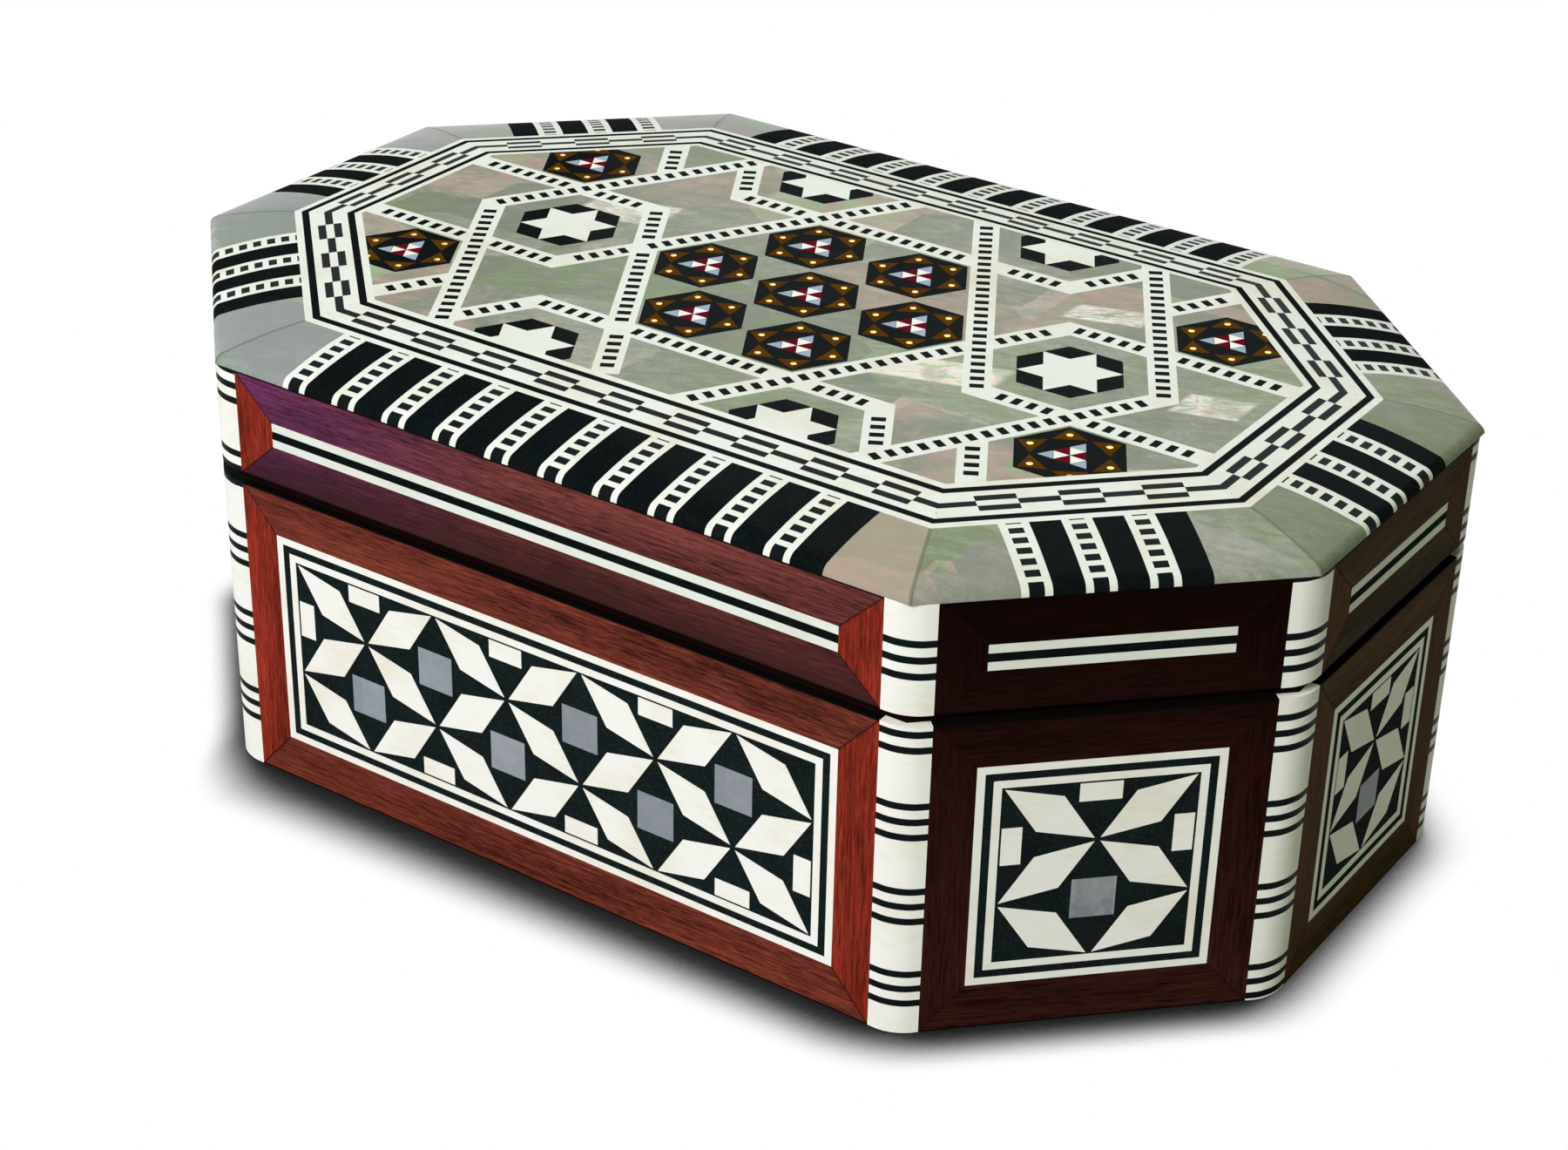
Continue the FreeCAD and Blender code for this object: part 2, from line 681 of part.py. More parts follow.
def columns_on(side):
    """Half columns of the net on one side."""
    return int(float(cell("long_columns" if side in LONG_SIDES else "short_columns")))


def panel_step(side):
    """Half a column of the net on one side, which fills the side between its stiles."""
    border = cell("strip_width") + cell("stile_width") + cell("panel_line") * 3
    return (side_length(side) - 2 * float(border)) / columns_on(side)


def panel_frame(side, first, last):
    """A square frame round a side panel, between two counts of lines out from the net."""
    line = float(cell("panel_line"))
    half = columns_on(side) * panel_step(side) / 2
    low = float(panel_bottom)
    high = low + float(cell("panel_rows") * panel_row)
    outer, inner = (
        block(-half - grow, half + grow, 0, veneer, low - grow, high + grow)
        for grow in (last * line, first * line)
    )
    return outer.cut(inner)


def net_spot(side, column, row):
    """A knot of the net: its place along the side and its height."""
    along = (column - columns_on(side) / 2) * panel_step(side)
    height = float(panel_bottom) + (float(cell("panel_rows")) - row) * float(panel_row)
    return Vector(along, 0, height)


def petal(start, end):
    """A bone petal between two knots of the net."""
    along = (end - start).normalize()
    across = Vector(-along.z, 0, along.x) * float(cell("petal_half_width"))
    start = start + along * float(cell("petal_gap"))
    end = end - along * float(cell("petal_gap"))
    middle = (start + end) / 2
    return prism([start, middle + across, end, middle - across], Vector(0, float(cell("tile_depth")), 0))


def side_petals(side):
    """The petals of one panel: one for each cell of the net, leaning by turns."""
    petals = []
    for row in range(int(float(cell("panel_rows")))):
        for column in range(columns_on(side)):
            lean = (column + row) % 2
            start = net_spot(side, column + lean, row)
            end = net_spot(side, column + 1 - lean, row + 1)
            petals.append(petal(start, end))
    return petals


def net_gaps(side):
    """Middles of the black gaps between petals, as column and row."""
    rows = int(float(cell("panel_rows")))
    columns = columns_on(side)
    return [(column, row) for row in range(rows + 1) for column in range(columns + 1) if (column + row) % 2]


def inside_net(side, column, row):
    """Whether a gap lies clear of the panel's edge, across and up."""
    return 0 < column < columns_on(side), 0 < row < int(float(cell("panel_rows")))


def side_squares(side):
    """Shell squares in the whole gaps of one panel."""
    half = float(cell("shell_square")) / 2
    depth = float(cell("tile_depth"))
    squares = []
    for column, row in net_gaps(side):
        if all(inside_net(side, column, row)):
            spot = net_spot(side, column, row)
            squares.append(block(spot.x - half, spot.x + half, 0, depth, spot.z - half, spot.z + half))
    return squares


def side_tabs(side):
    """Bone tabs in the half gaps along the edges of one panel."""
    half = float(cell("tab_length")) / 2
    gap = float(cell("tab_gap"))
    reach = gap + float(cell("tab_depth"))
    depth = float(cell("tile_depth"))
    middle = net_spot(side, columns_on(side) / 2, float(cell("panel_rows")) / 2)
    tabs = []
    for column, row in net_gaps(side):
        spot = net_spot(side, column, row)
        across, up = inside_net(side, column, row)
        if across and not up:
            low, high = sorted(spot.z + math.copysign(step, middle.z - spot.z) for step in (gap, reach))
            tabs.append(block(spot.x - half, spot.x + half, 0, depth, low, high))
        elif up and not across:
            low, high = sorted(spot.x + math.copysign(step, middle.x - spot.x) for step in (gap, reach))
            tabs.append(block(low, high, 0, depth, spot.z - half, spot.z + half))
    return tabs


def each_side(maker):
    """What a maker gives for each side, stood on that side."""
    return [on_side(shape, side) for side in range(8) for shape in maker(side)]


def side_veneer(side, low, high, inlay):
    """The wood on one side between its corner strips: two rails and two stiles mitred round its inlay."""
    half = side_length(side) / 2 - float(cell("strip_width"))
    box = inlay.BoundBox
    outer = [(-half, low), (half, low), (half, high), (-half, high)]
    inner = [(box.XMin, box.ZMin), (box.XMax, box.ZMin), (box.XMax, box.ZMax), (box.XMin, box.ZMax)]
    strips = []
    for step in range(4):
        after = (step + 1) % 4
        corners = (outer[step], outer[after], inner[after], inner[step])
        points = [Vector(x, 0, float(height)) for x, height in corners]
        strips.append(prism(points, Vector(0, float(veneer), 0)))
    return strips


def panel_ground(side):
    """The black ground behind the net's pieces."""
    box = panel_frame(side, 0, 1).BoundBox
    line = float(cell("panel_line"))
    low, high = box.ZMin + line, box.ZMax - line
    return block(box.XMin + line, box.XMax - line, cell("tile_depth"), veneer, low, high)


def make_base_inlay():
    wood = each_side(lambda side: side_veneer(side, 0, base_rim, panel_frame(side, 0, 3)))
    add_solids("base_wood_veneer", wood)
    white = each_side(lambda side: [panel_frame(side, 0, 1), panel_frame(side, 2, 3)])
    add_solids("base_white_lines", white)
    add_solids("base_black_lines", each_side(lambda side: [panel_frame(side, 1, 2)]))
    add_solids("base_panel_grounds", each_side(lambda side: [panel_ground(side)]))
    add_solids("base_bone_petals", each_side(side_petals))
    add_solids("base_shell_squares", each_side(side_squares))
    add_solids("base_bone_tabs", each_side(side_tabs))


def corner_strip(index, low, high):
    """A bone strip round one upright corner, its edge taken off in two flats."""
    tip = corner(0, index, low)
    back = (corner(0, index - 1, low) - tip).normalize()
    ahead = (corner(0, index + 1, low) - tip).normalize()
    inwards = (back + ahead).normalize()
    half_turn = math.pi / 8
    radius = float(cell("strip_round"))
    tangent = radius * math.tan(half_turn)
    crown = tip + inwards * (radius / math.cos(half_turn) - radius)
    width = float(cell("strip_width"))
    depth = float(veneer)
    inside_ahead = Vector(-ahead.y, ahead.x, 0) * depth
    inside_back = Vector(back.y, -back.x, 0) * depth
    outline = [
        crown, tip + ahead * tangent, tip + ahead * width, tip + ahead * width + inside_ahead,
        corner(veneer, index, low),
        tip + back * width + inside_back, tip + back * width, tip + back * tangent,
    ]
    return prism(outline, UP * float(high - low))


def make_corner_strips():
    add_solids("base_corner_strips", [corner_strip(index, as_size(0), base_rim) for index in range(8)])
    add_solids("lid_corner_strips", [corner_strip(index, lid_rim, lid_shoulder) for index in range(8)])


# Hinges


def leaf_and_knuckles(centre, low, high, spans, bore):
    """One leaf of a hinge with the knuckles that are its own."""
    along = Vector(1, 0, 0)
    half = float(cell("hinge_length")) / 2
    inner = half_width - cell("leaf_depth")
    radius = cell("knuckle_radius")
    outer = half_width - side_clearance / 2
    leaf = block(centre - half, centre + half, inner, outer, low, high)
    for start, end in spans:
        neck = block(centre + start, centre + end, outer, hinge_y, low, high)
        barrel = sided_rod(radius, end - start, centre + start, hinge_y, hinge_z, along)
        leaf = leaf.fuse([neck, barrel])
    hole = sided_rod(bore, 2 * half, centre - half, hinge_y, hinge_z, along)
    return leaf.cut(hole).removeSplitter()


def make_hinges():
    third = float(cell("hinge_length")) / 6
    half = float(cell("hinge_length")) / 2
    gap = float(cell("lining_clearance"))
    pin = cell("hinge_pin_radius")
    leaf = cell("leaf")
    nail = cell("hinge_nail_radius")
    depth = cell("hinge_nail_length")
    base_spans = [(-half, -third - gap), (third + gap, half)]
    lid_spans = [(-third, third)]
    places = hinge_nail_places()
    base_nails = [sided_rod(nail, depth + leaf, x, y, base_rim - depth) for x, y in places]
    lid_nails = [sided_rod(nail, depth + leaf, x, y, lid_rim - leaf) for x, y in places]
    base_leaves = []
    lid_leaves = []
    for centre in hinge_centres():
        base_leaves.append(leaf_and_knuckles(centre, base_rim, base_rim + leaf, base_spans, pin))
        lid_leaves.append(leaf_and_knuckles(centre, lid_rim - leaf, lid_rim, lid_spans, pin + running))
    add_solids("hinge_base_leaves", [cut_away(piece, base_nails) for piece in base_leaves])
    add_solids("hinge_lid_leaves", [cut_away(piece, lid_nails) for piece in lid_leaves])
    add_solids("hinge_base_nails", base_nails)
    add_solids("hinge_lid_nails", lid_nails)
    along = Vector(1, 0, 0)
    starts = [centre - half for centre in hinge_centres()]
    add_solids("hinge_pins", [sided_rod(pin, 2 * half, x, hinge_y, hinge_z, along) for x in starts])


# Carcass of the lid


def make_lid_carcass():
    boards = ring_boards(veneer, wall_inset, lid_rim, lid_ceiling)
    depth = cell("hinge_nail_length")
    holes = [sided_rod(cell("hinge_nail_radius"), depth, x, y, lid_rim) for x, y in hinge_nail_places()]
    boards[BACK] = cut_away(boards[BACK], holes)
    add_solids("lid_wall_boards", boards)
    rise = margin_top - veneer - lid_shoulder
    levels = [
        (veneer, lid_ceiling), (veneer, lid_shoulder + rise * veneer / margin_width),
        (margin_width, margin_top - veneer),
        (field_inset, field_top - veneer),
    ]
    rings = [[corner(inset, index, height) for index in range(8)] for inset, height in levels]
    add_solids("lid_top_board", [through_rings(rings)])
    lining = cell("lining")
    cloth = ring_boards(wall_inset, wall_inset + lining, lid_rim, lid_ceiling - lining)
    ceiling = octagon_plate(wall_inset, lid_ceiling - lining, lid_ceiling)
    add_solids("lid_lining", [ceiling] + cloth)


def stringing(side, first, last):
    """A line along the lid's side, between two counts of lines from the lowest."""
    line = cell("stringing_line")
    half = side_length(side) / 2 - float(cell("stringing_end"))
    low = lid_rim + cell("stringing_rise") - line * 1.5
    return block(-half, half, 0, veneer, low + line * first, low + line * last)


def make_lid_sides():
    wood = each_side(lambda side: side_veneer(side, lid_rim, lid_shoulder, stringing(side, 0, 3)))
    add_solids("lid_wood_veneer", wood)
    white = each_side(lambda side: [stringing(side, 0, 1), stringing(side, 2, 3)])
    add_solids("lid_white_stringing", white)
    add_solids("lid_black_stringing", each_side(lambda side: [stringing(side, 1, 2)]))


# Margin of the lid, which curves down to the edge


def margin_strip(start, end):
    """A length of the curved margin along a side, in flats round its edge and over its swell."""
    round_edge = float(cell("lid_edge_round"))
    edge = float(lid_shoulder + cell("lid_edge_height"))
    width = float(margin_width)
    depth = float(veneer)
    swell = float(cell("margin_bulge"))
    slope = round_edge * math.sqrt(0.5)
    nose = Vector(start, round_edge - slope, edge + slope)
    inner = Vector(start, width, float(margin_top))
    crest = (nose + inner) / 2 + Vector(0, 0, swell)
    foot = Vector(start, 0, float(lid_shoulder))
    outline = [foot, Vector(start, 0, edge), nose, crest, inner, inner - Vector(0, 0, depth)]
    return prism(outline, Vector(end - start, 0, 0))


def strip_spans(side):
    """Where the ladders and the bars of one side's margin start and end, from left to right."""
    long_side = side in LONG_SIDES
    count = int(float(cell("long_strips" if long_side else "short_strips")))
    ladder = float(cell("ladder_width"))
    bar = float(cell("short_bar"))
    if long_side:
        room = side_length(side, margin_width) - 2 * float(cell("long_end"))
        bar = room / count - ladder
    start = -count * (ladder + bar) / 2
    starts = [start + step * (ladder + bar) for step in range(count)]
    ladders = [(place, place + ladder) for place in starts]
    bars = [(place + ladder, place + ladder + bar) for place in starts]
    return ladders, bars


def shell_ends(side):
    """The two pieces of shell beside the strips, mitred at the corners."""
    ladders, bars = strip_spans(side)
    reach = side_length(side)
    outline = [(0, lid_shoulder), (margin_width, lid_shoulder), (margin_width, field_top), (0, field_top)]
    wedge = mitred(side, outline)
    ends = [margin_strip(-reach, ladders[0][0]), margin_strip(bars[-1][1], reach)]
    return [on_side(end, side).common(wedge) for end in ends]


def make_lid_margin():
    add_solids("lid_margin_shell", [piece for side in range(8) for piece in shell_ends(side)])
    for order, label in enumerate(("lid_margin_ladders", "lid_margin_bars")):
        strips = each_side(lambda side: [margin_strip(*span) for span in strip_spans(side)[order]])
        add_solids(label, strips)


# Band of the lid: white and black lines on either side of a chequered row


def band_line(side, first, last):
    """A mitred line of the sloping band, between two distances from its outer edge."""
    slope = cell("band_rise") / band_width
    outline = []
    for reach, drop in ((first, 0), (last, 0), (last, veneer), (first, veneer)):
        outline.append((margin_width + reach, margin_top + slope * reach - drop))
    return mitred(side, outline)


def make_lid_band():
    line = cell("band_line")
    inner = line * 3 + cell("band_checker")
    white = [line * 0, line * 2, inner, inner + line * 2]
    black = [line, inner + line]
    for label, starts in (("lid_band_white", white), ("lid_band_black", black)):
        lines = [band_line(side, start, start + line) for side in range(8) for start in starts]
        add_solids(label, lines)
    add_solids("lid_band_checker", [band_line(side, line * 3, inner) for side in range(8)])


# Field of the lid: shell crossed by ladders on a lattice of triangles, with stars and mosaic hexagons

# Ends of the ladders in steps of the lattice: half steps along the box and rows across it.
# Each runs unbroken past those listed after it, and the band stops those that run on.
LADDERS = [
    ((-4, 0), (-1, 6)), ((-4, 0), (-1, -6)), ((4, 0), (1, 6)), ((4, 0), (1, -6)),
    ((-2, 0), (1, 6)), ((2.5, -1), (-1, 6)), ((2, 0), (-1, -6)), ((-2.5, 1), (-1, -2)),
    ((-1, 2), (2, 2)), ((-2, -2), (2, -2)),
    ((-2, 2), (-1, 2)), ((-2, 2), (-2.5, 3)), ((2, 2), (2.5, 3)),
    ((-2, -2), (-2.5, -3)), ((2, -2), (2.5, -3)), ((-1, -2), (-0.5, -3)),
    ((-3.5, 1), (-2.5, 1)), ((-3.5, -1), (-2.5, -1)), ((-2, 0), (-2.5, -1)),
    ((3.5, 1), (2.5, 1)), ((3.5, -1), (2.5, -1)), ((2, 0), (2.5, 1)),
    ((-3.5, 1), (-6, 1)), ((-3.5, -1), (-6, -1)), ((3.5, 1), (6, 1)), ((3.5, -1), (6, -1)),
    ((-3, 2), (-4, 4)), ((-3, -2), (-4, -4)), ((3, 2), (4, 4)), ((3, -2), (4, -4)),
]


def lattice_spot(steps):
    """A place on the lattice, at the foot of the field's inlay."""
    spacing = float(lattice)
    height = float(field_top - veneer)
    return Vector(steps[0] * spacing, steps[1] * spacing * math.sqrt(3) / 2, height)


def ladder_strip(start, end):
    """A ladder between two places on the lattice, run on a little to close its corners."""
    half = float(cell("ladder_width")) / 2
    first = lattice_spot(start)
    last = lattice_spot(end)
    along = (last - first).normalize()
    first = first - along * half * math.tan(math.pi / 6)
    last = last + along * half * math.tan(math.pi / 6)
    across = Vector(-along.y, along.x, 0) * half
    return prism([first - across, last - across, last + across, first + across], UP * float(veneer))


def hexagon(centre):
    """A hexagon of the mosaic's size with a corner to the right."""
    radius = float(hexagon_radius)
    return prism([around(centre, radius, 60 * step) for step in range(6)], UP * float(veneer))


def mosaic_centres():
    """Seven mosaic hexagons in the middle, and one towards each corner."""
    spacing = float(hexagon_spacing)
    middle = lattice_spot((0, 0))
    centres = [middle] + [around(middle, spacing, 60 * step) for step in range(6)]
    for right in (-1, 1):
        for back in (-1, 1):
            next_middle = lattice_spot((4.5 * right, 3 * back))
            lean = 60 if right == back else -60
            centres.append(around(next_middle, -right * spacing, lean))
    return centres


def star_centres():
    """The six stars, at the corners of the middle hexagon."""
    return [around(lattice_spot((0, 0)), 3 * float(lattice), 60 * step) for step in range(6)]


def bone_star(centre):
    """A six-pointed star whose points reach the sides of its hexagon."""
    radius = float(hexagon_radius)
    tip = radius * math.cos(math.pi / 6)
    points = []
    for step in range(6):
        points.append(around(centre, radius / 2, 60 * step))
        points.append(around(centre, tip, 60 * step + 30))
    return prism(points, UP * float(veneer))


def star_kites(centre):
    """The six black pieces between the points of a star."""
    radius = float(hexagon_radius)
    tip = radius * math.cos(math.pi / 6)
    kites = []
    for step in range(6):
        turn = 60 * step
        points = [around(centre, radius, turn), around(centre, tip, turn + 30)]
        points += [around(centre, radius / 2, turn), around(centre, tip, turn - 30)]
        kites.append(prism(points, UP * float(veneer)))
    return kites


def make_lid_field():
    field = octagon_plate(field_inset, field_top - veneer, field_top)
    ladders = []
    for start, end in LADDERS:
        ladders.append(cut_away(ladder_strip(start, end).common(field), ladders))
    mosaics = [hexagon(centre).common(field) for centre in mosaic_centres()]
    stars = [bone_star(centre).common(field) for centre in star_centres()]
    kites = [kite.common(field) for centre in star_centres() for kite in star_kites(centre)]
    grounds = [hexagon(centre) for centre in star_centres()]
    add_solids("lid_field_shell", [cut_away(cut_away(field, ladders), mosaics + grounds)])
    add_solids("lid_field_ladders", ladders)
    add_solids("lid_mosaic_hexagons", mosaics)
    add_solids("lid_bone_stars", stars)
    add_solids("lid_star_kites", kites)


# Movement: bedplate, spring barrel and key


def make_bedplate():
    body = new_body("movement_bedplate", (0, 0, floor_top))
    outline = new_sketch(body, "movement_bedplate_outline")
    bevel = cell("bedplate_corner")
    points = [
        (bed_left + bevel, bed_front), (bed_right - bevel, bed_front), (bed_right, bed_front + bevel),
        (bed_right, bed_back - bevel), (bed_right - bevel, bed_back), (bed_left + bevel, bed_back),
        (bed_left, bed_back - bevel), (bed_left, bed_front + bevel),
    ]
    draw_polygon(outline, points)
    draw_small_bore(outline, cylinder_x, barrel_y, cell("winding_radius") + running)
    for x, y in movement_screw_places():
        draw_small_bore(outline, x, y, cell("movement_screw_radius"))
    pad(body, outline, cell("bedplate"), "movement_bedplate_thickness")


def make_movement_screws():
    """Screws from the key recess up through the bottom board into the bedplate."""
    radius = cell("movement_screw_radius")
    head = cell("screw_head")
    screws = []
    for x, y in movement_screw_places():
        shank = sided_rod(radius, bed_top - recess_height, x, y, recess_height)
        cap = sided_rod(radius * cell("screw_head_ratio"), head, x, y, recess_height - head)
        screws.append(shank.fuse(cap).removeSplitter())
    add_solids("movement_screws", screws)


def drum(outline, base):
    """A drum round the winding axis with a flat for each tooth; its outline is radius and height."""
    sides = int(float(cell("crown_teeth")))
    centre = Vector(float(cylinder_x), float(barrel_y), float(base))
    rings = []
    for radius, height in outline:
        middle = centre + UP * float(height)
        reach = float(radius) / math.cos(math.pi / sides)
        rings.append([around(middle, reach, 360 * (step + 0.5) / sides) for step in range(sides)])
    return through_rings(rings)


def make_barrel():
    """A drum for the mainspring with a crown of teeth round its upper rim, and its cap."""
    module = float(cell("crown_module"))
    rim = float(crown_rim - barrel_bottom)
    wall = float(cell("barrel_wall"))
    bore = cell("winding_radius") + running
    inside = barrel_radius - cell("barrel_wall")
    shell = drum([(barrel_radius, 0), (barrel_radius, rim), (inside, rim), (inside, wall)], barrel_bottom)
    shell = shell.cut(rod(bore, wall, cylinder_x, barrel_y, barrel_bottom))
    pitch = module * math.pi
    tip = rim + module * 1.85
    seat = rim - wall / 2
    margin = float(running)
    centre = Vector(float(cylinder_x), float(barrel_y), float(barrel_bottom))
    teeth = []
    for step in range(int(float(cell("crown_teeth")))):
        outline = [
            Vector(float(inside) + margin, pitch * share, height)
            for share, height in ((-0.26, seat), (0.26, seat), (0.11, tip), (-0.11, tip))
        ]
        tooth = prism(outline, Vector(wall - 2 * margin, 0, 0))
        tooth.Placement = Placement(centre, Rotation(UP, 360 * step / float(cell("crown_teeth"))))
        teeth.append(tooth)
    add_solids("spring_barrel", [shell.fuse(teeth).removeSplitter()])
    cap = cell("barrel_cap")
    cap_radius = inside - running
    disc = drum([(cap_radius, 0), (cap_radius, cap)], crown_rim - cap)
    hole = sided_rod(bore, cap, cylinder_x, barrel_y, crown_rim - cap)
    add_solids("barrel_cap", [disc.cut(hole)])


def make_mainspring():
    """A flat strip wound from near the arbor out to the wall of the barrel."""
    clearance = float(cell("spring_clearance"))
    strip = float(cell("spring_strip"))
    start = float(cell("winding_radius")) + clearance
    end = float(barrel_radius - cell("barrel_wall")) - clearance - strip
    turns = float(cell("spring_turns"))
    steps = int(turns * 10)
    low = float(barrel_bottom + cell("barrel_wall")) + clearance
    high = float(crown_rim - cell("barrel_cap")) - clearance
    centre = Vector(float(cylinder_x), float(barrel_y), low)
    inner = []
    outer = []
    for step in range(steps + 1):
        share = step / steps
        radius = start + (end - start) * share
        inner.append(around(centre, radius, 360 * turns * share))
        outer.append(around(centre, radius + strip, 360 * turns * share))
    add_solids("mainspring", [prism(inner + outer[::-1], UP * (high - low))])


def make_winding():
    """The arbor that winds the spring, and the winged key on its lower end."""
    radius = cell("winding_radius")
    foot = cell("key_foot")
    hub = cell("key_hub_radius")
    hub_top = recess_height - cell("key_neck")
    wing = (recess_height - foot - cell("key_gap")) / 2
    hub_foot = foot + wing / 2
    blind = hub_foot + cell("key_seat")
    outline = [(0, 0), (radius, 0), (radius, crown_pitch_z - blind), (0, crown_pitch_z - blind)]
    turned("winding_arbor", outline, (cylinder_x, barrel_y, blind))
    key = new_body("winding_key", (cylinder_x, barrel_y, blind))
    socket = new_sketch(key, "key_socket_outline")
    draw_small_bore(socket, 0, 0, hub)
    draw_small_bore(socket, 0, 0, radius)
    pad(key, socket, hub_top - blind, "key_socket")
    seat = new_sketch(key, "key_seat_outline")
    draw_small_bore(seat, 0, 0, hub)
    pad(key, seat, cell("key_seat"), "key_seat", reversed_way=True)
    wings = new_sketch(key, "key_wings_outline", "XZ_Plane")
    place = hub + wing - cell("key_hub_overlap")
    for x in (-place, place):
        draw_flats(wings, x, foot + wing - blind, wing, cell("wing_sides"))
    pad(key, wings, cell("key_thickness"), "key_wings", both_ways=True)


# Movement: pinned cylinder and comb


def lying_arbor(label, place, length):
    """A small shaft along +Y, whose corners lie on a circle of the arbors' radius."""
    shaft = new_body(label, place, lying())
    section = new_sketch(shaft, f"{label}_section")
    draw_small_bore(section, 0, 0, cell("arbor_radius") * math.cos(math.pi / float(cell("small_sides"))))
    pad(shaft, section, length, f"{label}_length")


def make_cylinder():
    arbor = cell("arbor_radius")
    drive_y = barrel_y + crown_radius - cell("drive_width") / 2
    start = drive_y - side_clearance
    length = far_bracket_y + cell("bracket") + side_clearance - start
    lying_arbor("cylinder_arbor", (cylinder_x, start, axis_z), length)
    cylinder = new_body("music_cylinder", (cylinder_x, cylinder_y, axis_z), lying())
    ring = new_sketch(cylinder, "music_cylinder_ring")
    draw_circle(ring, 0, 0, cell("cylinder_radius"))
    draw_small_bore(ring, 0, 0, arbor)
    pad(cylinder, ring, cell("cylinder_length"), "music_cylinder_length")
    half_tooth = HALF_TURN / float(cell("drive_teeth"))
    place = (cylinder_x, drive_y, axis_z)
    phase = lying(QUARTER_TURN + half_tooth)
    teeth = cell("drive_teeth")
    gear("drive_pinion", teeth, cell("crown_module"), cell("drive_width"), arbor, place, phase)
    gear_place = (cylinder_x, gear_y, axis_z)
    teeth = cell("cylinder_gear_teeth")
    gear("cylinder_gear", teeth, cell("gear_module"), cell("gear_width"), arbor, gear_place, lying())


def comb_track(tooth):
    """The middle of one comb tooth's track along the cylinder."""
    count = float(cell("comb_teeth"))
    middle = float(cylinder_y + cell("cylinder_length") / 2)
    return middle + (tooth - (count - 1) / 2) * float(comb_pitch)


def make_pins():
    """Pins of the tune: a few in the track of each comb tooth, spread round the cylinder."""
    half = float(cell("pin_width")) / 2
    inner = float(cell("cylinder_radius") - cell("pin_root"))
    outer = float(pin_circle)
    per_tooth = int(float(cell("pins_per_tooth")))
    golden_turn = 137.5
    axis = Vector(float(cylinder_x), 0, float(axis_z))
    pins = []
    for tooth in range(int(float(cell("comb_teeth")))):
        for repeat in range(per_tooth):
            outline = [Vector(inner, 0, half), Vector(inner, half, -half), Vector(inner, -half, -half)]
            pin = prism(outline, Vector(outer - inner, 0, 0))
            turn = golden_turn * tooth + 360 / per_tooth * repeat
            pin.Placement = Placement(axis + Vector(0, comb_track(tooth), 0), Rotation(Vector(0, 1, 0), turn))
            pins.append(pin)
    add_solids("cylinder_pins", pins)


def make_brackets():
    """Two upright plates that carry the cylinder's arbor, each with a foot on the bedplate."""
    left = cylinder_x - cell("bracket_width") / 2
    right = cylinder_x + cell("bracket_width") / 2
    thickness = cell("bracket")
    brackets = []
    for start in (bracket_y, far_bracket_y):
        end = start + thickness
        upright = block(left, right, start, end, bed_top, axis_z + cell("bracket_head"))
        foot = block(left, right, start, end + cell("bracket_foot"), bed_top, bed_top + thickness)
        bore = cell("arbor_radius") + running
        hole = sided_rod(bore, thickness, cylinder_x, start, axis_z, Vector(0, 1, 0))
        brackets.append(upright.fuse(foot).cut(hole).removeSplitter())
    add_solids("cylinder_brackets", brackets)


def comb_screw_places():
    """Where the two comb screws stand, through the comb's back."""
    x = comb_root_x + cell("comb_back") / 2
    quarter = cell("cylinder_length") / 4
    return [(x, cylinder_y + quarter), (x, cylinder_end - quarter)]


def make_comb():
    thickness = cell("comb_thickness")
    bottom = axis_z - thickness / 2
    pitch = comb_pitch
    span = pitch * (cell("comb_teeth") - 1)
    middle = cylinder_y + cell("cylinder_length") / 2
    first = middle - span / 2
    half = cell("comb_tooth_width") / 2
    body = new_body("comb", (0, 0, bottom))
    back = new_sketch(body, "comb_back_outline")
    draw_rectangle(back, comb_root_x, comb_end_x, first - half, first + span + half)
    for x, y in comb_screw_places():
        draw_small_bore(back, x, y, cell("comb_screw_radius"))
    pad(body, back, thickness, "comb_back")
    outline = new_sketch(body, "comb_tooth_outline")
    root = comb_root_x + half
    tip_half = half * 0.7
    points = [(root, first - half), (root, first + half)]
    points += [(comb_tip_x, first + tip_half), (comb_tip_x, first - tip_half)]
    draw_polygon(outline, points)
    tooth = pad(body, outline, thickness, "comb_tooth")
    pattern = body.newObject("PartDesign::LinearPattern", "comb_teeth")
    pattern.Originals = [tooth]
    pattern.Direction = (outline, ["V_Axis"])
    pattern.setExpression("Length", span.text)
    pattern.setExpression("Occurrences", cell("comb_teeth").text)
    body.Tip = pattern
    doc.recompute()

    base = new_body("comb_base", (0, 0, bed_top))
    footing = new_sketch(base, "comb_base_outline")
    draw_rectangle(footing, comb_root_x, comb_end_x, first - half, first + span + half)
    for x, y in comb_screw_places():
        draw_small_bore(footing, x, y, cell("comb_screw_radius"))
    pad(base, footing, bottom - bed_top, "comb_base_height")


def make_comb_screws():
    radius = cell("comb_screw_radius")
    top = axis_z + cell("comb_thickness") / 2
    depth = cell("comb_screw_depth") + cell("comb_thickness")
    screws = []
    for x, y in comb_screw_places():
        shank = sided_rod(radius, depth, x, y, top - depth)
        cap = sided_rod(radius * cell("screw_head_ratio"), cell("screw_head"), x, y, top)
        screws.append(shank.fuse(cap).removeSplitter())
    add_solids("comb_screws", screws)


# Movement: governor and stop


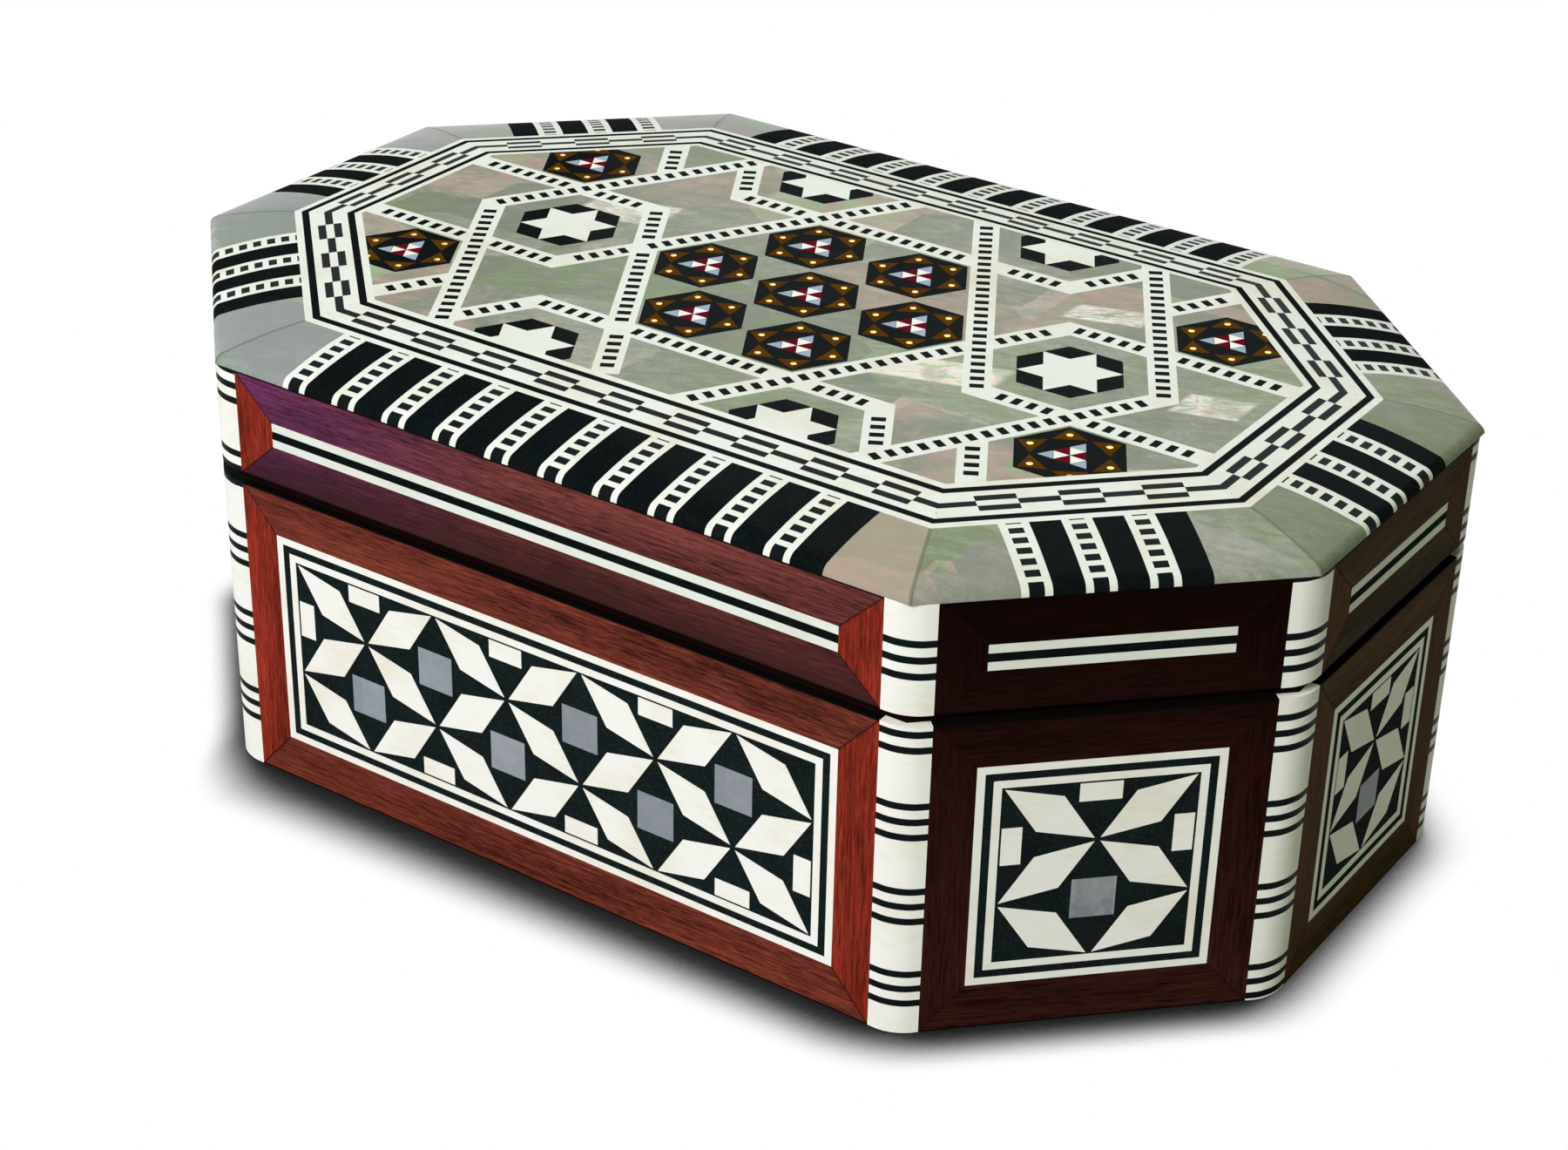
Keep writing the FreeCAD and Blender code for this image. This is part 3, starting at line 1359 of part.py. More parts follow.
def make_governor():
    arbor = cell("arbor_radius")
    start = gear_y - side_clearance
    length = governor_far_y + side_clearance - start
    lying_arbor("governor_arbor", (governor_x, start, axis_z), length)
    module = cell("gear_module")
    half_tooth = HALF_TURN / float(cell("governor_pinion_teeth"))
    pinion_place = (governor_x, gear_y, axis_z)
    teeth = cell("governor_pinion_teeth")
    phase = lying(HALF_TURN + half_tooth)
    gear("governor_pinion", teeth, module, cell("gear_width"), arbor, pinion_place, phase)
    wheel_place = (governor_x, worm_y - cell("wheel_width") / 2, axis_z)
    teeth = cell("governor_wheel_teeth")
    gear("governor_wheel", teeth, module, cell("wheel_width"), arbor, wheel_place, lying())


def make_worm():
    """A two-start worm: one outline with a lobe for each thread, turned as it climbs."""
    module = float(cell("gear_module"))
    starts = int(float(cell("worm_starts")))
    lead = math.pi * module * starts
    root = float(cell("worm_radius")) - module
    tip = float(cell("worm_radius")) + module * 0.75
    length = float(cell("worm_length"))
    lobe = 360 / starts
    sections = int(length / lead * 9)
    centre = Vector(float(worm_x), float(worm_y), float(axis_z))
    rings = []
    for section in range(sections + 1):
        climb = length * (section / sections - 0.5)
        middle = centre + Vector(0, 0, climb)
        phase = HALF_TURN + lobe / 2 + 360 * climb / lead
        points = []
        for start in range(starts):
            for share, radius in ((-0.26, root), (-0.11, tip), (0.11, tip), (0.26, root), (0.5, root)):
                points.append(around(middle, radius, phase + lobe * (start + share)))
        rings.append(points)
    thread = through_rings(rings, twisted=True)
    shaft_foot = bed_top + cell("governor_plate") / 4
    radius = cell("worm_shaft") * math.cos(math.pi / float(cell("small_sides")))
    low = sided_rod(radius, centre.z - length / 2 - float(shaft_foot), worm_x, worm_y, shaft_foot)
    high = sided_rod(radius, float(fan_bottom) - centre.z - length / 2, worm_x, worm_y, centre.z + length / 2)
    add_solids("governor_worm", [thread.fuse([low, high])])


def make_fan():
    """Two air-brake blades on a hub at the top of the worm's shaft."""
    body = new_body("governor_fan", (worm_x, worm_y, fan_bottom))
    hub = new_sketch(body, "fan_hub_outline")
    draw_circle(hub, 0, 0, cell("fan_hub"))
    pad(body, hub, cell("fan_height"), "fan_hub")
    blades = new_sketch(body, "fan_blades_outline")
    half = cell("fan_blade") / 2
    draw_rectangle(blades, -cell("fan_radius"), cell("fan_radius"), -half, half)
    pad(body, blades, cell("fan_height"), "fan_blades")


def make_governor_bracket():
    """A channel on the bedplate with a top tab, which carries the governor's arbor, worm and stop rod."""
    plate = cell("governor_plate")
    left = governor_x - cell("governor_room") - plate
    right = stop_x + cell("stop_radius") + side_clearance
    tab_left = worm_x - cell("worm_radius")
    front_right = stop_x - cell("stop_radius") - side_clearance
    floor = block(left, right, far_bracket_y, governor_far_y, bed_top, bed_top + plate)
    front = block(left, front_right, far_bracket_y, far_bracket_y + plate, bed_top, tab_top)
    back = block(left, right, governor_far_y - plate, governor_far_y, bed_top, tab_top)
    tab = block(tab_left, right, far_bracket_y, governor_far_y, tab_bottom, tab_top)
    across = governor_far_y - far_bracket_y
    height = tab_top - bed_top
    arbor_bore = cell("arbor_radius") + running
    arbor_hole = sided_rod(arbor_bore, across, governor_x, far_bracket_y, axis_z, Vector(0, 1, 0))
    worm_hole = sided_rod(cell("worm_shaft") + running, height, worm_x, worm_y, bed_top)
    stop_hole = sided_rod(cell("stop_radius") + running, height, stop_x, worm_y, tab_bottom)
    bracket = floor.fuse([front, back, tab]).cut([arbor_hole, worm_hole, stop_hole])
    add_solids("governor_bracket", [bracket.removeSplitter()])


def make_stop_rod():
    """The rod that the closed lid holds down, with a tongue that comes down on the fan's hub."""
    foot = tab_bottom - cell("stop_foot")
    tip = lid_ceiling - cell("lining") - cell("stop_clearance")
    upright = sided_rod(cell("stop_radius"), tip - foot, stop_x, worm_y, foot)
    low = fan_top + cell("stop_clearance")
    half = cell("stop_radius")
    tongue = block(worm_x - half, stop_x, worm_y - half, worm_y + half, low, low + cell("stop_tongue"))
    add_solids("stop_rod", [upright.fuse(tongue).removeSplitter()])


def check_pieces():
    """Stop if any object failed, or any sub-part has no sound solid."""
    doc.recompute()
    for item in doc.Objects:
        failed = {"Invalid", "Error"} & set(item.State)
        if failed:
            raise RuntimeError(f"{item.Label}: {failed}")
    for piece in pieces:
        shape = piece.Shape
        if shape.isNull() or not shape.isValid() or not shape.Solids:
            raise RuntimeError(f"{piece.Label} has no sound solid")


def write_pieces():
    """Write each sub-part to a file of its own."""
    os.makedirs("parts", exist_ok=True)
    for piece in pieces:
        piece.Shape.exportStep(f"parts/{piece.Label}.step")
        print(piece.Label, len(piece.Shape.Solids), "solids", round(piece.Shape.Volume, 2), "mm3")


make_base_walls()
make_bottom_board()
make_partition()
make_ledges()
make_cover()
make_storage_lining()
make_base_inlay()
make_corner_strips()
make_hinges()
make_lid_carcass()
make_lid_sides()
make_lid_margin()
make_lid_band()
make_lid_field()
make_bedplate()
make_movement_screws()
make_barrel()
make_mainspring()
make_winding()
make_cylinder()
make_pins()
make_brackets()
make_comb()
make_comb_screws()
make_governor()
make_worm()
make_fan()
make_governor_bracket()
make_stop_rod()
check_pieces()
write_pieces()
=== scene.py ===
"""An eight-sided inlaid music box: finishes, fine inlay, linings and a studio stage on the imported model."""

import json
import math

import bpy
from mathutils import Matrix, Vector


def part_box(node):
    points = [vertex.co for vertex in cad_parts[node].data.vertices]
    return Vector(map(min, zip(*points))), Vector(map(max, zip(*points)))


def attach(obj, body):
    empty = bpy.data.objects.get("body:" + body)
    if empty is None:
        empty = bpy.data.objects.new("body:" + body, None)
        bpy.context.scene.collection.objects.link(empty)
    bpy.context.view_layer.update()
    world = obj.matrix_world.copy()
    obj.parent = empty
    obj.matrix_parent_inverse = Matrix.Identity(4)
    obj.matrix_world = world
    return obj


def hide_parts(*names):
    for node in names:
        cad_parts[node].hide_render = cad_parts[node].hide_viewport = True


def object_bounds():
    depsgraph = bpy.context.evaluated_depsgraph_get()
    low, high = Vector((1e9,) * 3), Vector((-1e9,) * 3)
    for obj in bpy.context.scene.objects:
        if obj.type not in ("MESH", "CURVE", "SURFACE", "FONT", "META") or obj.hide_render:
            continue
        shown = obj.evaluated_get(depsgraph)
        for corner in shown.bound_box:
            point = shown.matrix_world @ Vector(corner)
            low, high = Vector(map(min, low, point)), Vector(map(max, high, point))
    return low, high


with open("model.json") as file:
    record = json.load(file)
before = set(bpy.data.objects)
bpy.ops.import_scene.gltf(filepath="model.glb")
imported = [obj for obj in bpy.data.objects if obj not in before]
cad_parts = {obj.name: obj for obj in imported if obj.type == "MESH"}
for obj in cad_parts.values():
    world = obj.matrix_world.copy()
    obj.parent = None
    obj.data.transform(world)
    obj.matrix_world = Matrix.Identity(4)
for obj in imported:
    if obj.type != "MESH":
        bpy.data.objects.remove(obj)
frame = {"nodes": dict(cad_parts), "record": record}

bl_info = {
    "name": "Inlaid Music Box",
    "version": (1, 0, 0),
    "blender": (4, 5, 0),
    "location": "View3D > Sidebar > Music Box",
    "description": "Dresses and lights an eight-sided inlaid music box",
    "category": "Object",
}

MM = 0.001
NODES = frame["nodes"]
CAD_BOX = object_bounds()
UP = Vector((0, 0, 1))
EIGHTH = math.pi / 8


def mirrored(start, end):
    """One ladder of the lid and its three mirror images."""
    flips = [(x, y) for x in (-1, 1) for y in (1, -1)]
    return [((start[0] * x, start[1] * y), (end[0] * x, end[1] * y)) for x, y in flips]


# Ends of the ladders in steps of the lid's lattice; each runs unbroken past those listed after it
LADDERS = [
    *mirrored((4, 0), (1, 6)),
    ((-2, 0), (1, 6)), ((2.5, -1), (-1, 6)), ((2, 0), (-1, -6)), ((-2.5, 1), (-1, -2)),
    ((-1, 2), (2, 2)), ((-2, -2), (2, -2)), ((-2, 2), (-1, 2)), ((-1, -2), (-0.5, -3)),
    *mirrored((2, 2), (2.5, 3)), *mirrored((3.5, 1), (2.5, 1)), ((-2, 0), (-2.5, -1)), ((2, 0), (2.5, 1)),
    *mirrored((3.5, 1), (6, 1)), *mirrored((3, 2), (4, 4)),
]

# Ladders of the lid's margin on a long side and on any other
LONG_LADDERS = 10
SHORT_LADDERS = 3

# Layers of the wood's grain: how fast each changes along and across it, its detail and its roughness
WOOD_LAYERS = ((0.025, 0.2, 2.0, 0.5), (0.18, 2.8, 5.0, 0.66), (0.6, 6.2, 2.0, 0.5))

# Where the painted purple sheen of a lid rail starts left of the middle, and over how far, in millimetres
SHEEN_START = 5
SHEEN_FADE = 56

# Where a rail's painted shadow starts as a share of its side, and the mitre's seam as a share of a stile
FOOT_SHADOW_START = 0.35
SEAM_SHARE = 0.03

# Width of the painted shadow along the top and bottom edges of the veneer, in millimetres
RIM_SHADOW_WIDTH = 0.2

# Black lines of the corner strips in millimetres: height of one group, and its shift near a short side,
# at the left and at the back
BASE_LINES = (6.0, -3.4, 2.6, 1.5)
LID_LINES = (47.9, -2.4, 4.6, -2.0)
LINE_HALF_WIDTH = 0.43
LINE_GROUP_REACH = 1.3

# Spacing and length of the black squares in the margin's ladders, in millimetres
MARGIN_STEP = 1.78
MARGIN_SQUARE = 1.02

# Width of the line where two shell pieces of the margin meet, in millimetres
MITRE_LINE = 0.16

# Steps round the margin's outer edge and across its top
EDGE_STEPS = 5
TOP_STEPS = 6

# Painted highlights on shell pieces of the field: middle and reach in millimetres, and brightness
GLEAMS = (
    ((25, -9), (7.5, 3.4), 2.1), ((33, 17), (5, 2.5), 1.3), ((55, 1.5), (4, 3), 1.5), ((-34, 8), (6, 4), 1.3),
)

# The black filling of a side panel: depth below the petals' faces, thickness and width of its rim
FILLING_DEPTH = 0.03 * MM
FILLING_THICKNESS = 0.4 * MM
FILLING_RIM = 0.04 * MM

# Parts of a mosaic hexagon as shares of its radius, and how far they spread or fill their places
STAR_REACH = 0.508
BROWN_TIP = 0.93
BROWN_FOOT = 0.62
BROWN_SPREAD = 27
DOT_PLACE = 0.71
DOT_RADIUS = 0.42 * MM
TRIANGLE_FIT = 0.95

# Ease of a small tile's upper edge as a share of its height
TILE_EASE = 0.6

# Screws: sides of shank and head, head to shank, eased rim, half the width of the slot, its depth as a share
# of the head's height, and its length to the head's radius
SHANK_SIDES = 16
HEAD_SIDES = 28
HEAD_TO_SHANK = 1.8
RIM_EASE = 0.25 * MM
SLOT_HALF_WIDTH = 0.22 * MM
SLOT_DEPTH = 0.45
SLOT_OVERRUN = 1.2

# Velvet pads: gap at each end as a share of the lining, and the insets of the crown, each with its width and
# its rise as a share of the lining
PAD_TRIM = 0.5
PAD_STEPS = ((0.3 * MM, 0.2), (0.6 * MM, 0.12), (1.6 * MM, 0.06))

# The floor's painted shadow in millimetres: its reach, what it gains along the front, how that changes
# across, and what it loses at the left
SHADOW_REACH = 7.4
FRONT_EXTRA = 3.0
FRONT_LEAN = 0.03
LEFT_LESS = 2.6

# Start and run of the shadow's front ahead, at its right end and at its left end, and of its left part
SHADOW_EDGES = ((44, 8), (-55, 12), (-54, 10), (48, 10))

# How much open sky the darkest shadow has, the way that sky leans, and the strength of the light all round
OPEN_FROM = 0.4
SHADOW_WAY = (-0.2, 0.55, 0.81)
SKY_LIGHT = 0.06

# Name, place, size, power and colour of each lamp
WHITE = (1, 1, 1)
LAMPS = (
    ("key_light", (0.0, -0.96, 0.72), 0.5, 13.8, WHITE), ("back_light", (-0.25, 0.75, 0.75), 0.8, 5.0, WHITE),
    ("left_light", (-1.0, -0.1, 0.5), 0.6, 3.0, WHITE),
    ("right_light", (1.0, 0.1, 0.4), 0.6, 1.0, (0.78, 1, 0.25)),
)
LAMP_AIM = Vector((0, 0, 0.03))

# The camera fitted to the photo: angles in degrees, place across, above and back from the middle, and lens
CAMERA_TURN = 34.174
CAMERA_RISE = 28.798
CAMERA_ROLL = 1.250
CAMERA_SPOT = (-1.66 * MM, 16.67 * MM, 394.3 * MM)
CAMERA_LENS = 68.73


# Settings a user would change


def length(name, description, default):
    """A size in the settings, given in millimetres."""
    return bpy.props.FloatProperty(
        name=name, description=description, default=default * MM, min=0, precision=5, unit="LENGTH",
    )


def colour(name, description, red, green, blue):
    """A colour in the settings, given as it looks on a screen from 0 to 255."""
    shares = [part / 255 for part in (red, green, blue)]
    linear = [part / 12.92 if part < 0.04045 else ((part + 0.055) / 1.055) ** 2.4 for part in shares]
    return bpy.props.FloatVectorProperty(
        name=name, description=description, default=linear, size=3, min=0, max=1, subtype="COLOR",
    )


class BoxSizes(bpy.types.PropertyGroup):
    """Sizes of the inlay that the finishes and the small pieces follow."""
    corner_cut: length("Corner cut", "How far each cut corner runs along a side", 31.2)
    veneer: length("Veneer", "Thickness of veneer and inlay", 1.2)
    strip_width: length("Strip width", "Width of a bone corner strip on each face", 3.1)
    strip_round: length("Strip rounding", "Rounding of the bone corner strips", 5.0)
    stile_width: length("Stile width", "Wood between a side panel and a corner strip", 5.05)
    bottom_rail: length("Bottom rail", "Wood below a side panel", 5.75)
    top_rail: length("Top rail", "Wood above a side panel", 5.55)
    panel_line: length("Panel line", "Width of one line round a side panel", 0.95)
    lid_stile: length("Lid stile", "Wood between the lid's side lines and a corner strip", 5.5)
    lid_low_rail: length("Lower lid rail", "Wood below the lid's side lines", 4.925)
    lid_high_rail: length("Upper lid rail", "Wood above the lid's side lines", 5.325)
    line_pitch: length("Corner line pitch", "Spacing of the black lines in the corner strips", 1.95)
    line_period: length("Corner line period", "Spacing of the groups of three lines", 10.95)
    margin_width: length("Margin width", "Edge of the lid to the patterned band", 10.9)
    long_end: length("Long end", "Mitre to the margin's strips on a long side", 6.3)
    short_bar: length("Short bar", "Width of a black bar on a short or corner side", 3.5)
    margin_round: length("Margin rounding", "Rounding of the margin's outer edge", 0.9)
    margin_bulge: length("Margin bulge", "How far the margin bows above a straight slope", 0.3)
    band_line: length("Band line", "Width of one line of the band", 0.92)
    band_checker: length("Band checker", "Width of the band's chequered row", 3.0)
    dash_period: length("Dash period", "Two dashes of the chequered row", 9.3)
    ladder_width: length("Ladder width", "Width of a ladder strip", 3.4)
    ladder_rail: length("Ladder rail", "White edge of a ladder strip", 0.86)
    ladder_square: length("Ladder square", "Length of a black square in a ladder", 1.0)
    ladder_period: length("Ladder period", "Spacing of the black squares in a ladder", 2.0)
    lattice_edge: length("Lattice edge", "Last row of the lattice to the edge of the field", 0.91)
    mosaic_clearance: length("Mosaic clearance", "Mosaic hexagons to the ladders round them", 0.35)
    mosaic_gap: length("Mosaic gap", "Corner of one mosaic hexagon to the next", 0.85)
    tile_proud: length("Tile height", "How far the smallest tiles stand above their ground", 0.02)
    wall: length("Wall", "Veneer and wall board together", 7.2)
    lining: length("Lining", "Thickness of the velvet over its pad", 1.2)
    screw_height: length("Screw height", "Height of a screw head", 1.3)
    screw_head: length("Screw head", "Radius of a movement screw's head", 1.8)


class BoxColours(bpy.types.PropertyGroup):
    """Colours of the finishes."""
    wood: colour("Wood", "Red-brown veneer of the base", 105, 47, 36)
    wood_dark: colour("Dark wood", "Dark streaks of the veneer", 60, 27, 21)
    stile: colour("Stile", "Redder upright veneer beside the corner strips", 130, 42, 28)
    lid_wood: colour("Lid wood", "Red-brown veneer of the lid's sides", 93, 46, 43)
    lid_wood_dark: colour("Dark lid wood", "Dark streaks of the lid's sides", 52, 27, 27)
    # Painted purple sheen of the lacquer at the left of the lid's sides
    lid_purple_sheen: colour("Purple lid wood", "Purple veneer at the left of the lid's sides", 94, 43, 92)
    # Painted light: an olive-brown colour for the two short sides that stands for dim greenish light on them
    short_side_light: colour("Short side wood", "Olive-brown veneer of the two short sides", 70, 57, 35)
    corner_wood: colour("Corner wood", "Dark veneer of the cut corners", 48, 23, 19)
    # Painted shadow: the gap where the lid meets the base, drawn along every top and bottom edge of the
    # veneer
    rim: colour("Rim", "Dark stain where the lid meets the base", 14, 10, 10)
    bone: colour("Bone", "Polished bone", 247, 247, 240)
    bone_warm: colour("Warm bone", "Warmer streaks in the bone", 236, 230, 210)
    lid_bone: colour("Lid bone", "Bone of the lid, greyer with handling", 229, 235, 225)
    black: colour("Black", "Polished black inlay", 13, 21, 22)
    shell: colour("Shell", "Grey-green shell of the lid's field", 128, 135, 117)
    shell_green: colour("Green shell", "Green light in the shell", 134, 150, 114)
    shell_pink: colour("Pink shell", "Pink light in the shell", 172, 152, 136)
    margin_shell: colour("Margin shell", "Warmer shell of the lid's margin", 142, 146, 132)
    blue_shell: colour("Blue shell", "Blue-grey squares in the side panels", 138, 144, 152)
    mosaic_brown: colour("Mosaic brown", "Brown triangles of the mosaic", 100, 64, 18)
    mosaic_red: colour("Mosaic red", "Red triangles of the mosaic", 122, 18, 40)
    mosaic_blue: colour("Mosaic blue", "Pale blue triangles of the mosaic", 172, 190, 210)
    velvet: colour("Velvet", "Short-pile lining", 112, 14, 26)
    brass: colour("Brass", "Polished brass", 214, 176, 96)
    steel: colour("Steel", "Brushed steel", 176, 178, 180)


class BoxSettings(bpy.types.PropertyGroup):
    """All the settings of the music box."""
    sizes: bpy.props.PointerProperty(type=BoxSizes, name="Sizes", description="Sizes of the inlay")
    colours: bpy.props.PointerProperty(type=BoxColours, name="Colours", description="Colours of the finishes")


def sizes():
    """The sizes of the box in this scene."""
    return bpy.context.scene.music_box.sizes


def tint(name, share=1.0):
    """One of the colours, made darker or lighter by a share, as a shader takes it."""
    return tuple(part * share for part in getattr(bpy.context.scene.music_box.colours, name)) + (1,)


# Measures of the box that the frame gives


HALF_LENGTH = CAD_BOX[1][0]
HALF_WIDTH = -CAD_BOX[0][1]
BASE_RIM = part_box("base_wood_veneer")[1].z
LID_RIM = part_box("lid_wood_veneer")[0].z
LID_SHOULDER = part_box("lid_wood_veneer")[1].z
MARGIN_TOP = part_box("lid_margin_shell")[1].z
FIELD_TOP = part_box("lid_field_shell")[1].z


def octagon_corners(inset):
    """The eight corners of the box at an inset, anticlockwise from the right end of the front."""
    a = HALF_LENGTH - inset
    b = HALF_WIDTH - inset
    cut = sizes().corner_cut - inset * (2 - math.sqrt(2))
    return [
        Vector(spot) for spot in (
            (a - cut, -b, 0), (a, cut - b, 0), (a, b - cut, 0), (a - cut, b, 0),
            (cut - a, b, 0), (-a, b - cut, 0), (-a, cut - b, 0), (cut - a, -b, 0),
        )
    ]


def side_frame(side):
    """The two ends of one side of the box, its direction and the way inwards."""
    corners = octagon_corners(0)
    run = (corners[side] - corners[side - 1]).normalized()
    return corners[side - 1], corners[side], run, UP.cross(run)


def side_lengths(inset=0.0):
    """Lengths of a long, a corner and a short side at an inset."""
    spots = octagon_corners(inset)
    return [(spots[end] - spots[start]).length for start, end in ((7, 0), (0, 1), (1, 2))]


# Shader sums and nodes


def summing(operation, reflected=False):
    """An operator of a shader value that adds one Math node."""

    def add_node(level, *others):
        values = (level, *others)
        return level.finish.sum(operation, *(reversed(values) if reflected else values))

    return add_node


class Level:
    """A shader value that takes part in sums, each of which adds its Math node."""

    __add__ = __radd__ = summing("ADD")
    __sub__ = summing("SUBTRACT")
    __rsub__ = summing("SUBTRACT", reflected=True)
    __mul__ = __rmul__ = summing("MULTIPLY")
    __truediv__ = summing("DIVIDE")
    __mod__ = summing("FLOORED_MODULO")
    __lt__ = summing("LESS_THAN")
    __gt__ = summing("GREATER_THAN")
    __abs__ = summing("ABSOLUTE")
    sign = summing("SIGN")
    least = summing("MINIMUM")
    most = summing("MAXIMUM")

    def __init__(self, finish, socket):
        self.finish = finish
        self.socket = socket

    def held(self, high=1.0):
        """The value kept between 0 and a highest one."""
        return self.most(0.0).least(high)

    def part(self, name):
        """Another output of the same node."""
        return Level(self.finish, self.socket.node.outputs[name])


class Finish:
    """One procedural material, with a method that adds any node to it."""

    def __init__(self, name):
        self.material = bpy.data.materials.new(name)
        self.material.use_nodes = True
        self.tree = self.material.node_tree
        self.surface = self.tree.nodes["Principled BSDF"]
        self.output = self.tree.nodes["Material Output"]

    def node(self, kind, settings=None, sockets=None, output=0):
        """Add a node with its settings, then the values or links of its sockets; give one output."""
        node = self.tree.nodes.new(kind)
        for name, value in (settings or {}).items():
            if name == "stops":
                while len(node.color_ramp.elements) < len(value):
                    node.color_ramp.elements.new(0.5)
                for element, (place, shade) in zip(node.color_ramp.elements, value):
                    element.position = place
                    element.color = shade
            else:
                setattr(node, name, value)
        for name, value in (sockets or {}).items():
            self.feed(node.inputs[name], value)
        return Level(self, node.outputs[output])

    def feed(self, socket, value):
        """Link a shader value to a socket, or set the socket to a plain value."""
        if isinstance(value, Level):
            self.tree.links.new(value.socket, socket)
        else:
            socket.default_value = value

    def sum(self, operation, *values):
        """Add a Math node."""
        return self.node("ShaderNodeMath", {"operation": operation}, dict(enumerate(values)))

    def mix(self, share, first, second):
        """Blend two colours."""
        return self.node("ShaderNodeMix", {"data_type": "RGBA"}, {0: share, 6: first, 7: second}, output=2)

    def ramp(self, value, *rows):
        """A colour for each value from 0 to 1, from rows of a place, a colour's name and its share."""
        stops = [(place, tint(name, share)) for place, name, share in rows]
        return self.node("ShaderNodeValToRGB", {"stops": stops}, {"Fac": value})

    def spot(self, stretch=(1, 1, 1)):
        """The place on the object in millimetres as one vector, stretched along each axis."""
        values = {0: self.node("ShaderNodeTexCoord", output="Object"), 1: [part / MM for part in stretch]}
        return self.node("ShaderNodeVectorMath", {"operation": "MULTIPLY"}, values)

    def point(self):
        """The place on the object in millimetres, as three values."""
        split = self.node("ShaderNodeSeparateXYZ", sockets={0: self.spot()})
        return split, split.part("Y"), split.part("Z")

    def joined(self, x, y, z):
        """Three values as one vector."""
        return self.node("ShaderNodeCombineXYZ", sockets={0: x, 1: y, 2: z})

    def noise(self, spot, scale, detail=3.0, roughness=0.5, distortion=0.0):
        """Soft random values from 0 to 1."""
        values = {"Vector": spot, "Scale": scale, "Detail": detail}
        values.update({"Roughness": roughness, "Distortion": distortion})
        return self.node("ShaderNodeTexNoise", sockets=values)

    def bump(self, height, strength, distance):
        """A normal roughened by a height."""
        values = {"Height": height, "Strength": strength, "Distance": distance}
        return self.node("ShaderNodeBump", sockets=values, output="Normal")

    def seen(self):
        """1 for rays from the camera, in a reflection or through a clear piece, else 0."""
        rays = self.node("ShaderNodeLightPath", output="Is Camera Ray")
        return rays.most(rays.part("Is Glossy Ray")).most(rays.part("Is Transmission Ray"))

    def show(self, result):
        """Give the finished shader to the output of the nodes."""
        self.feed(self.output.inputs["Surface"], result)

    def shine(self, **values):
        """Set or link the sockets of the surface, named with underscores for spaces."""
        for name, value in values.items():
            title = name.replace("_", " ").title().replace("Ior", "IOR")
            self.feed(self.surface.inputs[title], value)
        return self.material


class Sky(Finish):
    """The nodes of the world, added by the same method."""

    def __init__(self, name):
        self.world = bpy.data.worlds.new(name)
        self.world.use_nodes = True
        self.tree = self.world.node_tree
        self.output = self.tree.nodes["World Output"]


class Sides:
    """Where a place lies on the eight-sided box: inset from its side, and along that side, in millimetres."""

    def __init__(self, finish):
        x, y, self.z = finish.point()
        self.x = x
        self.y = y
        a = HALF_LENGTH / MM
        b = HALF_WIDTH / MM
        cut = sizes().corner_cut / MM
        far_x = abs(x)
        far_y = abs(y)
        long_inset = b - far_y
        short_inset = a - far_x
        corner_inset = (a + b - cut - far_x - far_y) / math.sqrt(2)
        self.inset = long_inset.least(short_inset).least(corner_inset)
        self.is_long = long_inset < short_inset.least(corner_inset)
        self.is_corner = corner_inset < short_inset.least(long_inset)
        self.is_short = 1 - self.is_long - self.is_corner
        self.turn = abs(long_inset.least(short_inset) - corner_inset) < MITRE_LINE
        self.sign_x = x.sign()
        self.sign_y = y.sign()
        corner_along = self.sign_x * self.sign_y * (far_y - far_x - (b - a)) / math.sqrt(2)
        self.along = self.pick(x * self.sign_y * -1, corner_along, y * self.sign_x)

    def pick(self, on_long, on_corner, on_short):
        """A value that depends on the kind of side."""
        return self.is_long * on_long + self.is_corner * on_corner + self.is_short * on_short


def wear(node_names, material):
    """Put a finish on whole sub-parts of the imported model."""
    for name in node_names:
        mesh = NODES[name].data
        mesh.materials.clear()
        mesh.materials.append(material)


# Finishes


